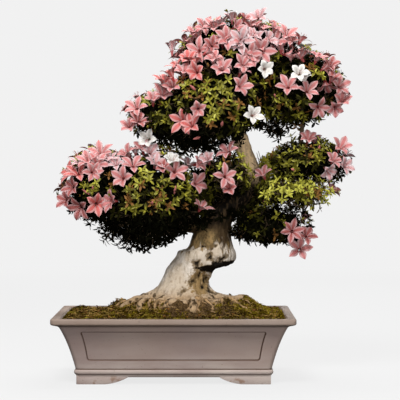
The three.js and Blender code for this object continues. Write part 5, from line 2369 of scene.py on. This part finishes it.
    def away_from_blooms(self, tips: Array) -> Array:
        """Tests which shoot tips don't stand in front of a blossom.

        Args:
            tips: the shoot tips.

        Returns:
            True for each that is clear.
        """
        at, way = np.array(self.blossoms.at), np.array(self.blossoms.way)
        gap = tips[:, None] - at[None]
        along = np.einsum("ijk,jk->ij", gap, way)
        beside = np.linalg.norm(gap - along[..., None] * way[None], axis=2)
        wide, back, ahead = self.cleared
        before = (beside < wide) & (along > back) & (along < ahead)
        aside = np.linalg.norm(gap[..., [0, 2]], axis=2)
        wide, ahead = self.unveiled
        veils = np.array(self.blossoms.seen) & (aside < wide) & (gap[..., 1] < 0) & (gap[..., 1] > ahead)
        return ~(before | veils).any(1)

    def stalk_blossoms(self, index: int, parents: Array) -> None:
        """Adds a stalk from the twigs to each blossom and bud of a mass.

        Args:
            index: the mass.
            parents: ends of its twigs.
        """
        at = np.array(self.blossoms.at + [at for at, _ in self.buds])
        way = np.array(self.blossoms.way + [way for _, way in self.buds])
        mine = self.spaces.shares(at).argmin(0) == index
        if mine.any():
            foot = at[mine] - way[mine] * self.blossom_foot
            self.add_twigs(self.nearest(foot, parents), foot, self.stalk)

    def petal_grid(self, pick: int) -> Array:
        """Draws one blossom.

        Args:
            pick: its number.

        Returns:
            Its points, as petals by rows by columns by three.
        """
        at, way = self.blossoms.at[pick], self.blossoms.way[pick]
        vary = Seeded(9000 + pick)
        size = lerp(*self.blossom_scale, vary.one())
        petals = 6 if vary.one() > self.sixth_petal else 5
        openness = vary.sizes(self.openness, 1)[0]
        u = unit(np.cross(clear_of_way(way, 0.9), way))
        around = np.arange(petals) / petals * CIRCLE
        turn = vary.one() * CIRCLE + around + self.petal_turn * vary.spread(petals)
        reach = (1.0 + self.petal_vary * vary.spread(petals))[:, None, None]
        droop = self.petal_droop * vary.spread(petals)
        out = swing(u, np.cross(way, u), turn)
        side = np.cross(way, out)
        far, high, half = np.array(self.petal_rows).T
        share = far / far[-1]
        mid = (far * openness)[None, :, None] * (reach * out[:, None])
        high = high / openness**0.5 - self.blossom_foot + droop[:, None] * share**2
        mid = mid + high[..., None] * way
        across = np.array(self.petal_columns)
        edge = (half[:, None] * across)[None, ..., None] * side[:, None, None]
        lift = (half * (self.petal_cup[0] - self.petal_cup[1] * share))[:, None] * across**2
        return (mid[:, :, None] + edge + lift[None, ..., None] * way) * size + at

    def stamen_shape(self) -> Shape:
        """Returns the stamens of every blossom as fine curved threads with thick ends."""
        at, way = np.array(self.blossoms.at), np.array(self.blossoms.way)
        run = Seeded(515)
        count, each = len(at), self.stamens
        lean = unit(way[:, None] * 1.5 + 0.55 * run.spread(count, each, 3) - 0.25 * UP)
        base = np.repeat((at - way * self.stamen_foot)[:, None], each, 1)
        end = base + lean * run.sizes(self.stamen_length, count, each, 1)
        bend = (base + end) / 2 - UP * self.stamen_sag
        lines = np.stack([base, bend, end, end + lean * self.anther], 2).reshape(-1, 4, 3)
        return tubes(lines, np.tile(self.stamen_radii, (len(lines), 1)), 3)

    def bud_shape(self) -> Shape:
        """Returns the buds as pointed spindles."""
        at, way = np.array(self.buds).transpose(1, 0, 2)
        lines = at[:, None] + way[:, None] * np.array(self.bud_shares)[:, None] * self.bud_length
        return tubes(lines, np.tile(self.bud_radii, (len(at), 1)), 8)

    def build_leaves(self) -> None:
        """Builds the leaves by tint, dealt out to several pieces where they are many."""
        for tint, shapes in self.leaf_shapes.items():
            name = f"leaves_{tint.name.lower()}"
            finish = Mottled(name, tint.value, 0.62, 11.0, 0.5, min(0.35, tint.value[1] * 1.1)).material()
            parts = math.ceil(sum(len(shape.faces) for shape in shapes) / self.piece_faces)
            for part in range(parts):
                number = f"_{part + 1}" if parts > 1 else ""
                self.bench.piece(name + number, Shape.join(shapes[part::parts]), finish, Slot.FOLIAGE)

    def build_blossoms(self) -> None:
        """Builds the petals by kind and band, the stamens and the buds."""
        row = self.throat_rows
        for kind in Bloom:
            grids = [self.petal_grid(i) for i, k in enumerate(self.blossoms.kind) if k is kind]
            bands = {
                "throat": [sheets(grid[:, :row + 1]) for grid in grids],
                "blade": [sheets(grid[:, row:, 1:4]) for grid in grids],
                "tip": [sheets(grid[:, row:, side:side + 2]) for grid in grids for side in (0, 3)],
            }
            for band, shapes in bands.items():
                name = f"petals_{kind.name.lower()}_{band}"
                finish = Mottled(name, getattr(kind.value, band), 0.84, 7.0, 0.6, 0.25)
                self.bench.piece(name, Shape.join(shapes), finish.material(), Slot.FOLIAGE)
        stamens = Mottled("stamens", (0.55, 0.22, 0.20), 0.4, 4.0)
        buds = Mottled("buds", (0.72, 0.23, 0.21), 0.7, 6.0)
        for finish, shape in ((stamens, self.stamen_shape()), (buds, self.bud_shape())):
            self.bench.piece(finish.name, shape, finish.material(), Slot.FOLIAGE)

    def build(self) -> None:
        """Grows every mass and builds its pieces."""
        self.find_limbs()
        self.place_front_blooms()
        self.place_other_blooms()
        log.info("blossoms: %d", len(self.blossoms.at))
        for index in range(len(self.spaces.masses)):
            self.grow(index)
        self.leaf_limbs()
        self.hang_sprays()
        self.raise_branch()
        names = [mass.name for mass in self.spaces.masses]
        bark = Mottled("twig_bark", (0.075, 0.048, 0.024), 0.5, 8.0, 0.8)
        self.bench.piece("twigs", Shape.join(self.twig_shapes), bark.material(), Slot.FOLIAGE, names)
        self.build_leaves()
        self.build_blossoms()


# Studio


@dataclass(frozen=True)
class Lamp:
    """A soft square light: its place, aim and edge in metres, and its power."""

    name: str
    at: Point
    aim: Point
    edge: float
    power: float

    def build(self) -> None:
        """Hangs the light."""
        light = bpy.data.lights.new(self.name, "AREA")
        light.size = self.edge
        light.energy = self.power
        made = bpy.data.objects.new(self.name, light)
        made.location = self.at
        made.rotation_euler = (Vector(self.aim) - Vector(self.at)).to_track_quat("-Z", "Y").to_euler()
        bpy.context.scene.collection.objects.link(made)


@dataclass
class Studio:
    """A plain pale floor, soft light from above and in front, and the photograph's camera."""

    bench: Bench
    eye: Eye
    pale: float = 0.880
    ambient: float = 0.02
    shadow: float = 0.08
    shadow_fade: Pair = (0.3, 4.0)
    glow_less: float = 1.2
    floor_half: float = 14.0
    lamps: tuple[Lamp, ...] = (
        Lamp("key", (-0.55, -2.0, 2.45), (0.0, 0.0, 0.42), 0.9, 88.0),
        Lamp("fill", (0.6, -3.4, 0.45), (0.0, 0.0, 0.20), 1.6, 74.0),
        Lamp("low", (0.1, -1.5, 0.05), (0.0, 0.0, 0.06), 0.5, 2.5),
        Lamp("top", (0.2, 0.5, 2.7), (0.0, 0.0, 0.5), 1.2, 48.0),
        Lamp("back", (0.6, 2.6, 1.5), (0.0, 0.0, 0.4), 1.4, 28.0),
        Lamp("left", (-2.8, 0.5, 0.9), (0.0, 0.0, 0.3), 1.4, 15.0),
        Lamp("right", (2.8, 0.5, 0.9), (0.0, 0.0, 0.3), 1.4, 15.0),
    )

    def world(self) -> None:
        """Makes the surroundings pale to the camera and dim to everything else."""
        world = bpy.data.worlds.new("studio")
        bpy.context.scene.world = world
        graph = Graph(world)
        seen = graph.node("ShaderNodeLightPath", output="Is Camera Ray")
        dim, pale = (graph.node("ShaderNodeBackground", None, {"Color": (tone,) * 3})
                     for tone in (self.ambient, self.pale))
        shown = graph.node("ShaderNodeMixShader", None, {0: seen, 1: dim, 2: pale})
        graph.node("ShaderNodeOutputWorld", None, {"Surface": shown})

    def floor(self) -> None:
        """Lays the floor, which takes a faint shadow and throws no light back up."""
        bm = bmesh.new()
        bmesh.ops.create_grid(bm, x_segments=1, y_segments=1, size=self.floor_half)
        mesh = bpy.data.meshes.new("floor")
        bm.to_mesh(mesh)
        bm.free()
        graph = Graph(bpy.data.materials.new("pale_floor"))
        away = graph.node("ShaderNodeVectorMath", {"operation": "LENGTH"}, {0: graph.place()}, "Value")
        far = graph.rise(away, *self.shadow_fade)
        near_glow = (self.pale - self.glow_less * self.shadow,) * 3
        mesh.materials.append(graph.surface({
            "Base Color": graph.mix(far, (self.shadow,) * 3, (0.0, 0.0, 0.0)),
            "Roughness": 1.0,
            "Specular IOR Level": 0.0,
            "Emission Color": graph.mix(far, near_glow, (self.pale,) * 3),
            "Emission Strength": 1.0,
        }))
        made = bpy.data.objects.new("floor", mesh)
        made.visible_diffuse = False
        made.visible_glossy = False
        bpy.context.scene.collection.objects.link(made)

    def camera(self) -> None:
        """Sets up the camera at the photograph's viewing angle."""
        data = bpy.data.cameras.new("camera")
        data.sensor_fit = "HORIZONTAL"
        data.angle = 2 * math.atan(self.eye.picture / 2 * self.eye.pixel / self.eye.away)
        made = bpy.data.objects.new("camera", data)
        ray = self.eye.ray((self.eye.picture / 2, self.eye.picture / 2))
        made.location = Vector(self.bench.to_row(self.eye.at()))
        made.rotation_euler = Vector(ray).to_track_quat("-Z", "Y").to_euler()
        bpy.context.scene.collection.objects.link(made)
        bpy.context.scene.camera = made

    def build(self) -> None:
        """Builds the studio around the part."""
        self.world()
        self.floor()
        for lamp in self.lamps:
            lamp.build()
        self.camera()
        view = bpy.context.scene.view_settings
        view.view_transform = "Standard"
        view.look = "None"


def write_sizes() -> None:
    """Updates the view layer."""
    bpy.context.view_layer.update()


def main() -> None:
    """Builds the pot, soil, wood, foliage and studio in order."""
    logging.basicConfig(level=logging.INFO, format="%(message)s")
    bench = Bench()
    eye = Eye()
    Studio(bench, eye).build()
    pot = ClayPot(bench)
    pot.build()
    soil = MossBed(bench, pot)
    soil.build()
    spaces = Spaces(MASSES)
    wood = Wood(bench, soil, spaces)
    wood.build()
    Foliage(bench, spaces, wood, eye).build()
    write_sizes()


if __name__ == "__main__":
    main()
